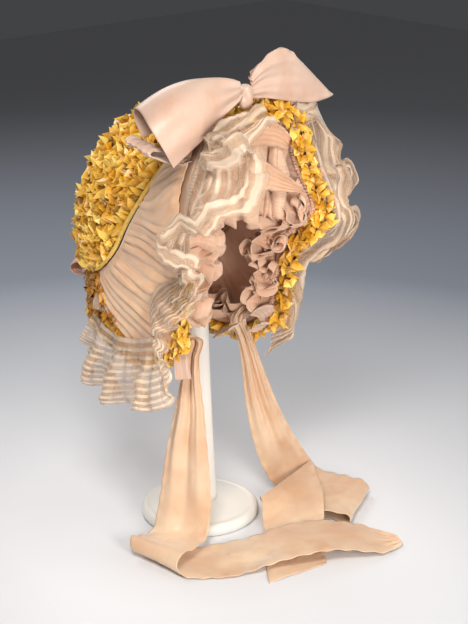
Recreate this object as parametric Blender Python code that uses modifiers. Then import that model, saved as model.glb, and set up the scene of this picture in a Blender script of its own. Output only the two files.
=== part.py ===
"""Poke bonnet of folded straw on a plain display stand.

The bonnet faces -Y, the wearer's left is +X and the stand's foot rests on Z = 0.
Every length is in metres.
"""

import math

import bpy
import numpy as np
from mathutils import Vector
from mathutils.bvhtree import BVHTree

# Bonnet
BONNET_WIDTH = 0.184
BONNET_DEPTH = 0.300
BONNET_HEIGHT = 0.300
BONNET_LEVEL = 0.230
CROWN_WALL = 0.004
CROWN_SWELL = 0.009
TIP_WIDTH = 0.116
TIP_HEIGHT = 0.200
TIP_DOME = 0.009
TIP_LEAN = math.radians(27)
BRIM_WALL = 0.003
BRIM_SWELL = 0.006
STRAW_MARGIN = 0.015
EDGE_BRAID = 0.005
RUCHING = 0.008
SEAM_GAP = 0.0016

# Cloth
LINING_WALL = 0.001
DRAPE_WALL = 0.0015
DRAPE_FOLD = 0.0035
SHEER_WALL = 0.001
RUFFLE_WIDTH = 0.090
FRILL_WIDTH = 0.045
RIBBON_WALL = 0.001
TIE_WIDTH = 0.074
BOW_WIDTH = 0.080

# Stand
BASE_DIAMETER = 0.152
BASE_RIM = 0.016
BASE_HEIGHT = 0.022
POST_FOOT = 0.044
POST_TOP = 0.024
PAD_DIAMETER = 0.070
PAD_HEIGHT = 0.030

PIECE_GAP = 0.0003
CLOTH_EASE = 0.0015
MOST_SETTLING = 0.012

# Steps in each mesh
HALF_STEPS = 20
TURN_STEPS = 36
POST_STEPS = 24

# The bonnet's seam line, where the brim meets the crown, and its free edge, from the top centre (turn 0)
# down one side to the nape (turn 180). Shares of half the width, of the depth and of the height.
BODY_COLUMNS = ("turn", "seam_across", "seam_back", "seam_up", "edge_across", "edge_back", "edge_up")
BODY_ROWS = (
    (0, 0.00, -0.17, 0.97, 0.00, -0.31, 1.06),
    (27, 0.46, -0.15, 0.94, 0.49, -0.33, 1.06),
    (45, 0.67, -0.12, 0.87, 0.82, -0.33, 0.97),
    (60, 0.85, -0.07, 0.77, 1.07, -0.32, 0.77),
    (72, 0.95, -0.01, 0.67, 1.20, -0.38, 0.58),
    (84, 0.99, 0.05, 0.58, 0.98, -0.27, 0.43),
    (96, 1.00, 0.11, 0.48, 0.92, -0.23, 0.27),
    (108, 0.97, 0.19, 0.40, 0.87, -0.20, 0.11),
    (126, 0.87, 0.30, 0.33, 0.82, 0.05, -0.01),
    (144, 0.67, 0.43, 0.31, 0.60, 0.36, 0.00),
    (162, 0.35, 0.54, 0.29, 0.30, 0.58, 0.00),
    (180, 0.00, 0.57, 0.29, 0.00, 0.63, 0.00),
)
LAST = len(BODY_ROWS) - 1

# The crown from its front edge back to the middle of its tip: share of the way to the tip's rim, swell,
# share of the way in to the tip's middle, and share of the tip's dome.
CROWN_COLUMNS = ("along", "swell", "inward", "dome")
CROWN_ROWS = (
    (0.00, 0.00, 0.00, 0.00),
    (0.25, 0.55, 0.00, 0.00),
    (0.50, 0.90, 0.00, 0.00),
    (0.75, 1.00, 0.00, 0.00),
    (0.93, 0.80, 0.00, 0.00),
    (1.00, 0.35, 0.05, 0.20),
    (1.00, 0.00, 0.30, 0.70),
    (1.00, 0.00, 0.65, 0.95),
    (1.00, 0.00, 1.00, 1.00),
)

# Each frill: a row for each fold. The station counts the rows of the body table, from the top centre
# down the wearer's right (minus) or left (plus) side. The root lies in from the brim's free edge, and the
# frill's own free edge stands off its root across, back and up, all in shares of the frill's width.
FOLD_COLUMNS = ("station", "inset", "across", "back", "up")
RUFFLE_RIGHT_ROWS = (
    (-0.2, 0.02, 0.12, -0.50, -0.10),
    (-0.5, 0.02, 0.03, -0.48, -0.12),
    (-0.8, 0.02, -0.10, -0.48, -0.22),
    (-1.05, 0.02, -0.28, -0.52, -0.34),
    (-1.3, 0.02, -0.40, -0.52, -0.40),
    (-1.5, 0.02, -0.45, -0.45, -0.48),
    (-1.7, 0.02, -0.36, -0.70, -0.18),
    (-1.9, 0.02, -0.22, -0.94, 0.22),
    (-2.1, 0.02, 0.10, -0.94, 0.22),
    (-2.3, 0.02, 0.30, -0.93, 0.12),
    (-2.5, 0.02, 0.28, -0.95, 0.05),
    (-2.8, 0.02, 0.06, -0.99, 0.08),
    (-3.2, 0.02, -0.26, -0.74, 0.17),
    (-3.5, 0.02, -0.41, -0.17, 0.21),
    (-3.8, 0.02, -0.44, 0.12, 0.28),
    (-4.1, 0.02, -0.43, -0.24, 0.30),
    (-4.4, 0.06, -0.35, -0.57, 0.28),
    (-4.8, 0.16, -0.16, -0.72, 0.08),
    (-5.3, 0.34, -0.05, -0.66, -0.18),
    (-5.8, 0.48, -0.07, -0.54, -0.30),
    (-6.3, 0.52, -0.10, -0.29, -0.37),
    (-6.7, 0.40, -0.15, -0.40, -0.85),
    (-7.1, 0.50, -0.48, -0.25, -0.88),
    (-7.5, 0.56, 0.02, -0.25, -0.88),
    (-7.9, 0.60, -0.48, -0.10, -0.88),
    (-8.2, 0.60, 0.00, -0.08, -0.86),
    (-8.5, 0.58, -0.40, 0.05, -0.82),
    (-8.8, 0.55, -0.02, 0.00, -0.65),
    (-9.1, 0.50, -0.20, 0.05, -0.45),
)
RUFFLE_LEFT_ROWS = (
    (0.9, 0.02, 0.20, -0.20, -0.15),
    (1.2, 0.02, 0.35, -0.15, -0.15),
    (1.6, 0.02, 0.45, -0.10, -0.12),
    (2.2, 0.02, 0.58, 0.00, -0.18),
    (2.8, 0.02, 0.60, -0.10, -0.15),
    (3.2, 0.02, 0.65, -0.10, 0.05),
    (3.6, 0.02, 0.48, 0.05, -0.15),
    (4.0, 0.02, 0.42, -0.15, -0.05),
    (4.3, 0.02, 0.30, -0.20, -0.20),
    (4.7, 0.02, 0.20, 0.10, -0.25),
    (5.3, 0.02, 0.12, 0.15, -0.25),
    (6.0, 0.02, 0.06, 0.08, -0.30),
    (6.7, 0.02, 0.14, 0.12, -0.35),
    (7.3, 0.02, 0.06, 0.08, -0.45),
)
FRILL_RIGHT_ROWS = (
    (-3.6, 0.75, 0.85, -0.20, -0.15),
    (-4.1, 0.70, 0.80, -0.45, 0.05),
    (-4.5, 0.65, 1.20, -0.15, 0.00),
    (-5.0, 0.65, 0.80, -0.70, -0.10),
    (-5.6, 0.65, 1.20, -0.15, 0.10),
    (-6.2, 0.65, 0.75, -0.60, -0.10),
    (-6.8, 0.65, 1.05, -0.10, 0.05),
)
FRILL_LEFT_ROWS = (
    (3.3, 0.65, -0.80, -0.30, -0.50),
    (3.9, 0.65, -0.70, -0.65, 0.00),
    (4.5, 0.65, -1.35, -0.10, 0.00),
    (5.0, 0.65, -0.75, -0.60, -0.10),
    (5.5, 0.65, -1.15, -0.10, 0.10),
    (6.0, 0.65, -0.60, -0.60, -0.10),
    (6.5, 0.65, -0.95, 0.00, 0.10),
    (7.0, 0.65, -0.50, -0.30, 0.30),
)
FRILL_TOP_ROWS = (
    (-2.6, 0.65, 0.50, -0.20, -1.30),
    (-1.9, 0.65, 0.25, 0.15, -1.90),
    (-1.2, 0.65, 0.10, -0.25, -2.30),
    (-0.5, 0.65, 0.00, 0.20, -2.40),
    (0.2, 0.65, 0.00, -0.25, -2.45),
    (0.9, 0.65, -0.10, 0.20, -2.40),
    (1.6, 0.65, -0.15, -0.20, -2.20),
    (2.3, 0.65, -0.30, 0.10, -1.80),
)
FRILL_LOWER_ROWS = (
    (7.5, 0.65, -0.30, -0.30, 0.70),
    (7.9, 0.65, -0.80, -0.10, 0.50),
    (8.3, 0.65, -0.40, -0.50, 0.80),
    (8.7, 0.65, -0.75, -0.30, 0.45),
    (9.1, 0.65, -0.40, -0.60, 0.75),
)

# Ribbons: a row for each section, with its middle (across, back and up from the piece's own start, in
# ribbon widths), the direction of its width, its share of the full width and the depth of its pleats.
RIBBON_COLUMNS = ("across", "back", "up", "wide_x", "wide_y", "wide_z", "share", "pleat")
# A ribbon's root, when it has one, is sewn to the brim's inner side: its station, its distance in from
# the free edge, its share of the full width and how far it stands off, as a share of the ruching.
TIE_RIGHT_ROOT = (-7.5, 0.034, 0.22, 0.0)
TIE_RIGHT_START = (-0.050, -0.047, 0.268)
TIE_RIGHT_ROWS = (
    (0.00, 0.00, 0.00, 0.55, -0.84, 0.00, 0.26, 0.050),
    (-0.03, -0.01, -0.34, 0.55, -0.84, 0.00, 0.24, 0.055),
    (-0.09, -0.03, -0.75, 0.55, -0.84, 0.00, 0.34, 0.055),
    (-0.12, -0.03, -1.30, 0.55, -0.84, 0.00, 0.52, 0.050),
    (-0.18, -0.03, -2.00, 0.55, -0.84, 0.00, 0.72, 0.040),
    (-0.22, -0.03, -2.75, 0.55, -0.84, 0.00, 0.88, 0.030),
    (-0.28, -0.02, -3.20, 0.50, -0.86, 0.00, 0.96, 0.015),
    (-0.42, -0.08, -3.40, 0.42, -0.91, 0.00, 1.00, 0.005),
    (-0.75, -0.18, -3.38, 0.30, -0.95, 0.00, 1.04, 0.000),
    (-1.06, -0.28, -3.30, 0.20, -0.98, 0.00, 1.06, 0.000),
    (-1.20, -0.38, -3.42, 0.12, -0.99, 0.00, 1.06, 0.000),
    (-1.10, -0.50, -3.55, 0.02, -1.00, 0.00, 1.06, 0.000),
    (-0.80, -0.70, -3.58, -0.15, -0.99, 0.00, 1.06, 0.000),
    (-0.30, -1.00, -3.58, -0.35, -0.94, 0.00, 1.08, 0.005),
    (0.30, -1.28, -3.50, -0.44, -0.90, 0.00, 1.08, 0.005),
    (0.90, -1.58, -3.36, -0.45, -0.89, 0.00, 1.08, 0.000),
    (1.50, -1.88, -3.38, -0.45, -0.89, 0.00, 1.06, 0.000),
    (2.10, -2.20, -3.54, -0.45, -0.89, 0.00, 1.00, 0.000),
    (2.44, -2.48, -3.57, -0.45, -0.89, 0.00, 0.30, 0.000),
)
TIE_LEFT_ROOT = (7.0, 0.036, 0.22, 0.0)
TIE_LEFT_START = (0.050, -0.020, 0.264)
TIE_LEFT_ROWS = (
    (0.00, 0.00, 0.00, 0.80, -0.60, 0.00, 0.26, 0.050),
    (0.12, -0.03, -0.45, 0.80, -0.60, 0.00, 0.26, 0.055),
    (0.26, -0.07, -1.00, 0.85, -0.52, 0.00, 0.36, 0.055),
    (0.45, -0.10, -1.70, 0.90, -0.43, 0.00, 0.55, 0.050),
    (0.72, -0.10, -2.40, 0.95, -0.30, 0.05, 0.75, 0.035),
    (1.05, -0.08, -3.00, 0.97, -0.20, 0.08, 0.92, 0.015),
    (1.28, -0.12, -3.36, 0.97, -0.10, 0.05, 1.00, 0.005),
    (1.36, -0.35, -3.53, 0.98, 0.00, 0.00, 1.04, 0.000),
    (1.38, -0.80, -3.54, 0.95, 0.20, 0.00, 1.12, 0.000),
    (1.40, -1.25, -3.54, 0.90, 0.40, 0.00, 1.28, 0.000),
    (1.40, -1.50, -3.52, 0.87, 0.49, 0.00, 1.38, 0.000),
    (1.40, -1.62, -3.42, 0.87, 0.49, 0.00, 1.38, 0.000),
    (1.38, -1.52, -3.31, 0.87, 0.49, 0.00, 1.38, 0.000),
    (1.24, -1.20, -3.31, 0.90, 0.43, 0.02, 1.42, 0.000),
    (1.00, -0.75, -3.31, 0.94, 0.33, 0.04, 1.56, 0.000),
    (0.84, -0.48, -3.28, 0.96, 0.27, 0.04, 1.66, 0.000),
    (0.78, -0.38, -3.20, 0.96, 0.27, 0.04, 1.68, 0.000),
    (0.72, -0.48, -3.12, 0.98, 0.20, 0.04, 1.62, 0.000),
    (0.51, -0.78, -3.14, 1.00, 0.05, 0.08, 1.40, 0.000),
    (0.20, -1.19, -3.33, 0.92, -0.32, 0.25, 1.18, 0.000),
    (-0.23, -1.64, -3.50, 0.86, -0.50, 0.05, 1.04, 0.000),
    (-0.61, -2.08, -3.55, 0.90, -0.42, 0.00, 1.04, 0.000),
    (-0.94, -2.48, -3.55, 0.99, -0.14, 0.00, 1.15, 0.000),
)
SHORT_END_START = (-0.079, -0.062, 0.262)
SHORT_END_ROWS = (
    (0.00, 0.00, 0.00, 0.70, -0.70, 0.10, 0.20, 0.000),
    (-0.02, -0.02, -0.20, 0.70, -0.70, 0.10, 0.22, 0.000),
    (-0.01, -0.05, -0.45, 0.70, -0.70, 0.15, 0.24, 0.000),
)
NAPE_LOOP_START = (-0.034, 0.177, 0.306)
NAPE_LOOP_ROWS = (
    (0.00, 0.00, 0.00, 1.00, 0.15, 0.00, 0.30, 0.000),
    (-0.07, 0.19, 0.06, 1.00, 0.40, 0.00, 0.32, 0.000),
    (-0.13, 0.29, 0.03, 1.00, 0.50, 0.00, 0.32, 0.000),
    (-0.16, 0.33, -0.08, 1.00, 0.50, 0.00, 0.32, 0.000),
    (-0.11, 0.28, -0.18, 1.00, 0.50, 0.00, 0.32, 0.000),
    (-0.02, 0.18, -0.18, 1.00, 0.40, 0.00, 0.30, 0.000),
)
NAPE_END_START = (-0.091, 0.086, 0.298)
NAPE_END_ROWS = (
    (0.00, 0.00, 0.00, 0.20, -0.98, 0.00, 0.16, 0.010),
    (-0.01, 0.00, -0.12, 0.20, -0.98, 0.00, 0.22, 0.005),
    (-0.02, 0.00, -0.26, 0.20, -0.98, 0.00, 0.26, 0.000),
)
CHIN_LOOP_START = (0.040, -0.044, 0.270)
CHIN_LOOP_ROWS = (
    (0.00, 0.00, 0.00, 0.55, -0.60, 0.55, 0.20, 0.000),
    (0.14, -0.06, 0.10, 0.55, -0.60, 0.55, 0.30, 0.000),
    (0.30, -0.12, 0.06, 0.55, -0.60, 0.55, 0.34, 0.000),
    (0.36, -0.14, -0.08, 0.55, -0.60, 0.55, 0.34, 0.000),
    (0.28, -0.10, -0.20, 0.55, -0.60, 0.55, 0.32, 0.000),
    (0.12, -0.05, -0.18, 0.55, -0.60, 0.55, 0.26, 0.000),
)
CHIN_END_START = (0.030, -0.034, 0.262)
CHIN_END_ROWS = (
    (0.00, 0.00, 0.00, 0.30, -0.80, 0.50, 0.18, 0.000),
    (-0.14, 0.02, -0.04, 0.30, -0.80, 0.50, 0.28, 0.000),
    (-0.30, 0.04, -0.12, 0.30, -0.80, 0.50, 0.34, 0.000),
)

# The bow on top of the brim. Its right loop is rolled: each row runs from the open rim to the knot.
# The others are ribbons. Places are in bow widths from the knot's middle.
BOW_START = (-0.019, -0.105, 0.577)
LOOP_COLUMNS = ("rim_x", "rim_y", "rim_z", "knot_x", "knot_y", "knot_z", "arch")
BOW_RIGHT_ROWS = (
    (-1.40, -0.08, -0.90, -0.13, -0.07, -0.11, 0.02),
    (-1.56, -0.06, -0.62, -0.14, -0.08, -0.05, 0.10),
    (-1.64, 0.12, -0.34, -0.14, -0.07, 0.04, 0.17),
    (-1.56, 0.42, -0.18, -0.13, -0.02, 0.11, 0.21),
    (-1.48, 0.66, -0.20, -0.13, 0.04, 0.09, 0.19),
    (-1.42, 0.72, -0.38, -0.13, 0.07, 0.02, 0.10),
    (-1.38, 0.60, -0.60, -0.13, 0.07, -0.05, 0.04),
)
BOW_LEFT_ROWS = (
    (0.13, 0.00, 0.00, -0.05, 0.05, 1.00, 0.30, 0.020),
    (0.40, -0.02, 0.09, -0.10, 0.05, 1.00, 0.58, 0.015),
    (0.74, -0.03, 0.10, -0.20, 0.05, 1.00, 0.80, 0.010),
    (1.10, -0.02, 0.02, -0.45, 0.05, 0.90, 0.90, 0.000),
    (1.38, 0.02, -0.01, -0.72, 0.05, 0.70, 1.00, 0.000),
    (1.40, 0.10, -0.01, -0.72, 0.05, 0.70, 1.00, 0.000),
    (1.12, 0.18, 0.00, -0.50, 0.05, 0.85, 0.90, 0.000),
    (0.70, 0.18, 0.00, -0.20, 0.05, 1.00, 0.70, 0.010),
    (0.24, 0.14, -0.01, -0.05, 0.05, 1.00, 0.40, 0.020),
)
UNDER_LOOP_ROWS = (
    (-0.98, 0.24, -0.86, 0.20, -0.90, -0.30, 0.30, 0.000),
    (-1.33, 0.25, -0.80, 0.20, -0.90, -0.30, 0.50, 0.000),
    (-1.66, 0.31, -0.68, 0.20, -0.90, -0.30, 0.50, 0.000),
    (-1.74, 0.33, -0.61, 0.20, -0.90, -0.30, 0.48, 0.000),
    (-1.64, 0.35, -0.57, 0.20, -0.90, -0.30, 0.46, 0.000),
    (-1.50, 0.35, -0.60, 0.20, -0.90, -0.30, 0.44, 0.000),
)

# Ribbons tacked inside the front of the brim, in bow widths from their own start.
FACE_FOLD_ROOT = (-0.2, 0.019, 0.20, 0.9)
FACE_FOLD_START = (0.002, -0.086, 0.514)
FACE_FOLD_ROWS = (
    (0.00, 0.00, 0.00, 0.25, 0.10, -1.00, 0.30, 0.010),
    (0.26, -0.06, 0.00, 0.20, 0.10, -1.00, 0.40, 0.000),
    (0.52, -0.10, -0.06, 0.00, 0.15, -1.00, 0.36, 0.000),
    (0.74, -0.12, -0.20, -0.30, 0.20, -0.90, 0.22, 0.010),
)
FACE_END_ROOT = (-1.5, 0.019, 0.20, 0.9)
FACE_END_START = (-0.028, -0.100, 0.482)
FACE_END_ROWS = (
    (0.00, 0.00, 0.00, 0.05, 0.10, -1.00, 0.30, 0.010),
    (0.30, -0.02, -0.06, 0.05, 0.10, -1.00, 0.44, 0.000),
    (0.62, -0.05, -0.20, 0.05, 0.10, -1.00, 0.42, 0.000),
    (0.96, -0.09, -0.36, 0.05, 0.10, -1.00, 0.26, 0.000),
    (1.26, -0.14, -0.50, 0.05, 0.10, -1.00, 0.06, 0.000),
)


def point(across, back, up):
    """A place on the bonnet from its shares of half the width, of the depth and of the height."""
    return np.array(
        (across * BONNET_WIDTH / 2, back * BONNET_DEPTH, BONNET_LEVEL + up * BONNET_HEIGHT)
    )


def unit(vector):
    """The vector at length 1, along its last axis."""
    length = np.linalg.norm(vector, axis=-1, keepdims=True)
    return vector / np.maximum(length, 1e-9)


def smooth(rows, place):
    """The values at a place counted in rows, on a smooth curve through every row."""
    rows = np.asarray(rows, float)
    last = len(rows) - 1
    i = int(min(max(math.floor(place), 0), last - 1))
    t = place - i
    before = rows[i - 1] if i > 0 else 2 * rows[0] - rows[1]
    after = rows[i + 2] if i + 2 <= last else 2 * rows[last] - rows[last - 1]
    here, there = rows[i], rows[i + 1]
    return 0.5 * (
        2 * here
        + (there - before) * t
        + (2 * before - 5 * here + 4 * there - after) * t**2
        + (3 * here - before - 3 * there + after) * t**3
    )


def body(station):
    """Seam point, free edge point and turn at a station, minus on the wearer's right."""
    rows = np.array(BODY_ROWS, float)
    flip = np.array((-1, -1, 1, 1, -1, 1, 1))
    beyond = rows[-2] * flip
    beyond[0] = 360 - rows[-2][0]
    rows = np.vstack((rows[1] * flip, rows, beyond))
    turn, *shares = smooth(rows, abs(station) + 1)
    side = -1 if station < 0 else 1
    seam, edge = shares[:3], shares[3:]
    seam[0] *= side
    edge[0] *= side
    return point(*seam), point(*edge), math.radians(turn) * side


def stations(first, last, steps):
    return np.linspace(first, last, steps + 1)


def round_stations():
    """Stations all the way round, without the last, which is the first again."""
    return stations(-LAST, LAST, 2 * HALF_STEPS)[:-1]


def tip_rim(turn):
    """The tip's rim at a turn, and the direction away from the tip's middle."""
    upright = np.array((0, -math.sin(TIP_LEAN), math.cos(TIP_LEAN)))
    away = math.sin(turn) * np.array((1, 0, 0)) + math.cos(turn) * upright
    middle = point(0, 0.45, 0.64)
    rim = middle + math.sin(turn) * np.array((TIP_WIDTH / 2, 0, 0)) + math.cos(turn) * upright * TIP_HEIGHT / 2
    return rim, away, middle


def crown_rings(rows):
    """Rings of points of the crown's middle surface, from its front edge to the tip's middle."""
    backward = np.array((0, math.cos(TIP_LEAN), math.sin(TIP_LEAN)))
    rings = []
    for along, swell, inward, dome in rows:
        ring = []
        for station in round_stations():
            seam, _, turn = body(station)
            rim, away, middle = tip_rim(turn)
            start = seam + unit(rim - seam) * SEAM_GAP
            place = start + (rim - start) * along + away * swell * CROWN_SWELL
            place = place + (middle - place) * inward + backward * dome * TIP_DOME
            ring.append(place)
        rings.append(ring)
    return np.array(rings)


def brim_surface(first, last, steps, near_share, far_inset, rows, ring=False):
    """Points of the brim's middle surface: rows from the seam out, and columns round it.

    near_share is where the surface starts, as a share of the brim's depth, and far_inset is how far
    short of the free edge it stops."""
    places = round_stations() if ring else stations(first, last, steps)
    grid = []
    for row in range(rows + 1):
        line = []
        for station in places:
            seam, edge, turn = body(station)
            depth = np.linalg.norm(edge - seam)
            low = max(near_share, SEAM_GAP / depth)
            share = low + (1 - far_inset / depth - low) * row / rows
            line.append(brim_place(seam, edge, turn, share))
        grid.append(line)
    return np.array(grid)


def brim_place(seam, edge, turn, share):
    away = np.array((math.sin(turn), 0, math.cos(turn)))
    return seam + (edge - seam) * share + away * BRIM_SWELL * 4 * share * (1 - share)


def brim_frame(station, inset):
    """A point of the brim at a distance in from its free edge, and the brim's outward normal there."""

    def at(where, distance):
        seam, edge, turn = body(where)
        depth = np.linalg.norm(edge - seam)
        return brim_place(seam, edge, turn, 1 - distance / depth)

    along = at(station + 0.4, inset) - at(station - 0.4, inset)
    outward = at(station, inset - 0.004) - at(station, inset + 0.004)
    normal = unit(np.cross(along, outward))
    seam, _, turn = body(station)
    away = np.array((math.sin(turn), 0, math.cos(turn)))
    if normal @ away < 0:
        normal = -normal
    return at(station, inset), normal


def raised(grid, height, ring=False):
    """The grid moved along its own normals, away from the bonnet's inside."""
    if ring:
        along = np.roll(grid, -1, axis=1) - np.roll(grid, 1, axis=1)
    else:
        along = np.gradient(grid, axis=1)
    across = np.gradient(grid, axis=0)
    normal = unit(np.cross(along, across))
    flat = np.linalg.norm(along, axis=2) < 1e-6
    for row, column in zip(*np.nonzero(flat)):
        normal[row, column] = unit(normal[row - 1].mean(axis=0))
    middle = point(0, 0.2, 0.5)
    inside_out = np.einsum("ijk,ijk->", normal, grid - middle) < 0
    if inside_out:
        normal = -normal
    if np.ndim(height):
        height = np.asarray(height)[..., None]
    return grid + normal * height


def material(name, colour, roughness, metallic=0.0):
    found = bpy.data.materials.new(name)
    found.use_nodes = True
    surface = found.node_tree.nodes["Principled BSDF"]
    surface.inputs["Base Color"].default_value = (*colour, 1)
    surface.inputs["Roughness"].default_value = roughness
    surface.inputs["Metallic"].default_value = metallic
    found.diffuse_color = (*colour, 1)
    return found


def keep(piece, finish):
    """Puts the piece in the bonnet's collection with its own copy of the finish."""
    own = finish.copy()
    own.name = piece.name + "_finish"
    piece.data.materials.append(own)
    for other in piece.users_collection:
        other.objects.unlink(piece)
    PARTS.objects.link(piece)
    return piece


def wall(name, grid, thickness, finish, ring=False, side=0.0):
    """A wall of cloth or straw: an open surface through the grid, with Solidify."""
    grid = np.asarray(grid)
    rows, columns = grid.shape[:2]
    points = [tuple(place) for place in grid.reshape(-1, 3)]
    faces = []
    for row in range(rows - 1):
        for column in range(columns if ring else columns - 1):
            after = (column + 1) % columns
            a, b = row * columns + column, row * columns + after
            faces.append((a, b, b + columns, a + columns))
    mesh = bpy.data.meshes.new(name)
    mesh.from_pydata(points, [], faces)
    piece = bpy.data.objects.new(name, mesh)
    bpy.context.scene.collection.objects.link(piece)
    weld = piece.modifiers.new("Weld", "WELD")
    weld.merge_threshold = 0.00002
    solid = piece.modifiers.new("Wall", "SOLIDIFY")
    solid.thickness = thickness
    solid.offset = side
    mesh.shade_smooth()
    return keep(piece, finish)


def turned(name, profile, steps, finish):
    """A turned piece from its profile, given from the top down the outer side."""
    mesh = bpy.data.meshes.new(name)
    edges = [(i, i + 1) for i in range(len(profile) - 1)]
    mesh.from_pydata([(radius, 0, level) for radius, level in profile], edges, [])
    piece = bpy.data.objects.new(name, mesh)
    bpy.context.scene.collection.objects.link(piece)
    screw = piece.modifiers.new("Turn", "SCREW")
    screw.steps = steps
    screw.render_steps = steps
    screw.use_merge_vertices = True
    screw.merge_threshold = 0.0001
    return keep(piece, finish)


def tube(name, places, radius, finish):
    """A padded roll or braid that follows the places."""
    curve = bpy.data.curves.new(name, "CURVE")
    curve.dimensions = "3D"
    curve.bevel_depth = radius
    curve.bevel_resolution = 1
    curve.use_fill_caps = True
    line = curve.splines.new("POLY")
    line.points.add(len(places) - 1)
    for target, place in zip(line.points, places):
        target.co = (*place, 1)
    piece = bpy.data.objects.new(name, curve)
    bpy.context.scene.collection.objects.link(piece)
    return keep(piece, finish)


def shape(piece):
    """The piece's points in the scene and its faces, with its modifiers."""
    seen = piece.evaluated_get(bpy.context.evaluated_depsgraph_get())
    mesh = seen.to_mesh()
    places = [piece.matrix_world @ vertex.co for vertex in mesh.vertices]
    faces = [tuple(face.vertices) for face in mesh.polygons]
    seen.to_mesh_clear()
    return places, faces


def nearest(places, tree):
    """The shortest step from any of the places to the tree's surface."""
    best = Vector((1, 0, 0))
    for place in places:
        found, _, _, distance = tree.find_nearest(place, best.length)
        if found is not None and distance < best.length:
            best = found - place
    return best


def between(places, faces):
    """The places and the middle of each side of each face."""
    sides = {tuple(sorted((face[i - 1], face[i]))) for face in faces for i in range(len(face))}
    return places + [(places[a] + places[b]) / 2 for a, b in sorted(sides)]


def settle(piece):
    """Moves a loose piece straight towards the nearest piece built before it, until it rests on that piece."""
    bpy.context.view_layer.update()
    for _ in range(3):
        places, faces = shape(piece)
        tree = BVHTree.FromPolygons(places, faces)
        step = nearest(between(places, faces), SETTLED["tree"])
        back = nearest(SETTLED["points"], tree)
        if back.length < step.length:
            step = -back
        spare = step.length - 1.5 * PIECE_GAP
        if spare < PIECE_GAP:
            break
        if spare > MOST_SETTLING:
            break
        piece.location += step.normalized() * spare
        bpy.context.view_layer.update()
    settled(piece)


def settled(*pieces):
    """Adds pieces to those that later ones may rest on."""
    bpy.context.view_layer.update()
    for piece in pieces:
        places, faces = shape(piece)
        first = len(SETTLED["places"])
        SETTLED["places"] += places
        SETTLED["faces"] += [tuple(first + i for i in face) for face in faces]
        SETTLED["points"] += between(places, faces)
    SETTLED["tree"] = BVHTree.FromPolygons(SETTLED["places"], SETTLED["faces"])


def frill(name, rows, width, finish, root, wall_thickness, steps, columns=3, belly=0.06):
    """A gathered strip: its root follows the brim and its free edge swings from fold to fold."""
    rows = np.array(rows, float)
    grid = []
    for step in range(steps + 1):
        station, inset, across, back, up = smooth(rows, step / steps * (len(rows) - 1))
        start, normal = root(station, inset * width)
        off = np.array((across, back, up)) * width
        line = []
        for column in range(columns + 1):
            share = column / columns
            bend = normal * belly * width * math.sin(math.pi * share)
            line.append(start + off * share + bend)
        grid.append(line)
    return wall(name, grid, wall_thickness, finish)


def sewn(rows, start, width, root):
    """The rows with one more before them, where the ribbon is sewn to the brim's inner side."""
    station, inset, share, off = root
    place, normal = inner_root(station, inset)
    place = place + normal * RUCHING * off
    first = np.array(rows[0], float)
    wide = unit(first[3:6])
    first[:3] = (place - np.array(start)) / width
    first[3:6] = unit(wide - normal * (wide @ normal))
    first[6] = share
    first[7] = 0
    return np.vstack((first, rows))


def ribbon(name, rows, start, width, finish, steps, columns=6, root=None):
    """A ribbon through its sections, with two pleats along it where it is gathered."""
    rows = np.array(rows, float)
    if root:
        rows = sewn(rows, start, width, root)
    places = np.linspace(0, len(rows) - 1, steps + 1)
    sections = np.array([smooth(rows, place) for place in places])
    middles = np.array(start) + sections[:, :3] * width
    heading = unit(np.gradient(middles, axis=0))
    grid = []
    for middle, ahead, section in zip(middles, heading, sections):
        wide = unit(section[3:6])
        up = unit(np.cross(wide, ahead))
        line = []
        for column in range(columns + 1):
            share = column / columns - 0.5
            pleat = section[7] * width * math.cos(4 * math.pi * share)
            line.append(middle + wide * share * width * section[6] + up * pleat)
        grid.append(line)
    return wall(name, grid, RIBBON_WALL, finish)


for old in list(bpy.data.objects):
    bpy.data.objects.remove(old)

PARTS = bpy.data.collections.new("poke_bonnet")
bpy.context.scene.collection.children.link(PARTS)
SETTLED = {"places": [], "faces": [], "points": [], "tree": None}

STRAW = material("straw", (0.77, 0.40, 0.04), 0.38)
DRAPE = material("dusty_pink_chiffon", (0.75, 0.58, 0.53), 0.6)
LINING = material("faded_pink_lining", (0.50, 0.33, 0.27), 0.8)
ORGANZA = material("ivory_organza", (0.86, 0.76, 0.66), 0.45)
CHIFFON = material("pink_chiffon", (0.84, 0.56, 0.46), 0.6)
SATIN = material("peach_satin", (0.90, 0.62, 0.45), 0.35)
STAND = material("stand_enamel", (0.86, 0.84, 0.78), 0.45)


def headroom(piece):
    """How far the piece, built on the floor, can rise on its axis before it meets the crown's lining."""
    least = 1.0
    for place in shape(piece)[0]:
        start = Vector((place.x, place.y, BONNET_LEVEL))
        found = SETTLED["tree"].ray_cast(start, Vector((0, 0, 1)))[0]
        if found is not None:
            least = min(least, found.z - place.z)
    return least


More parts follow.
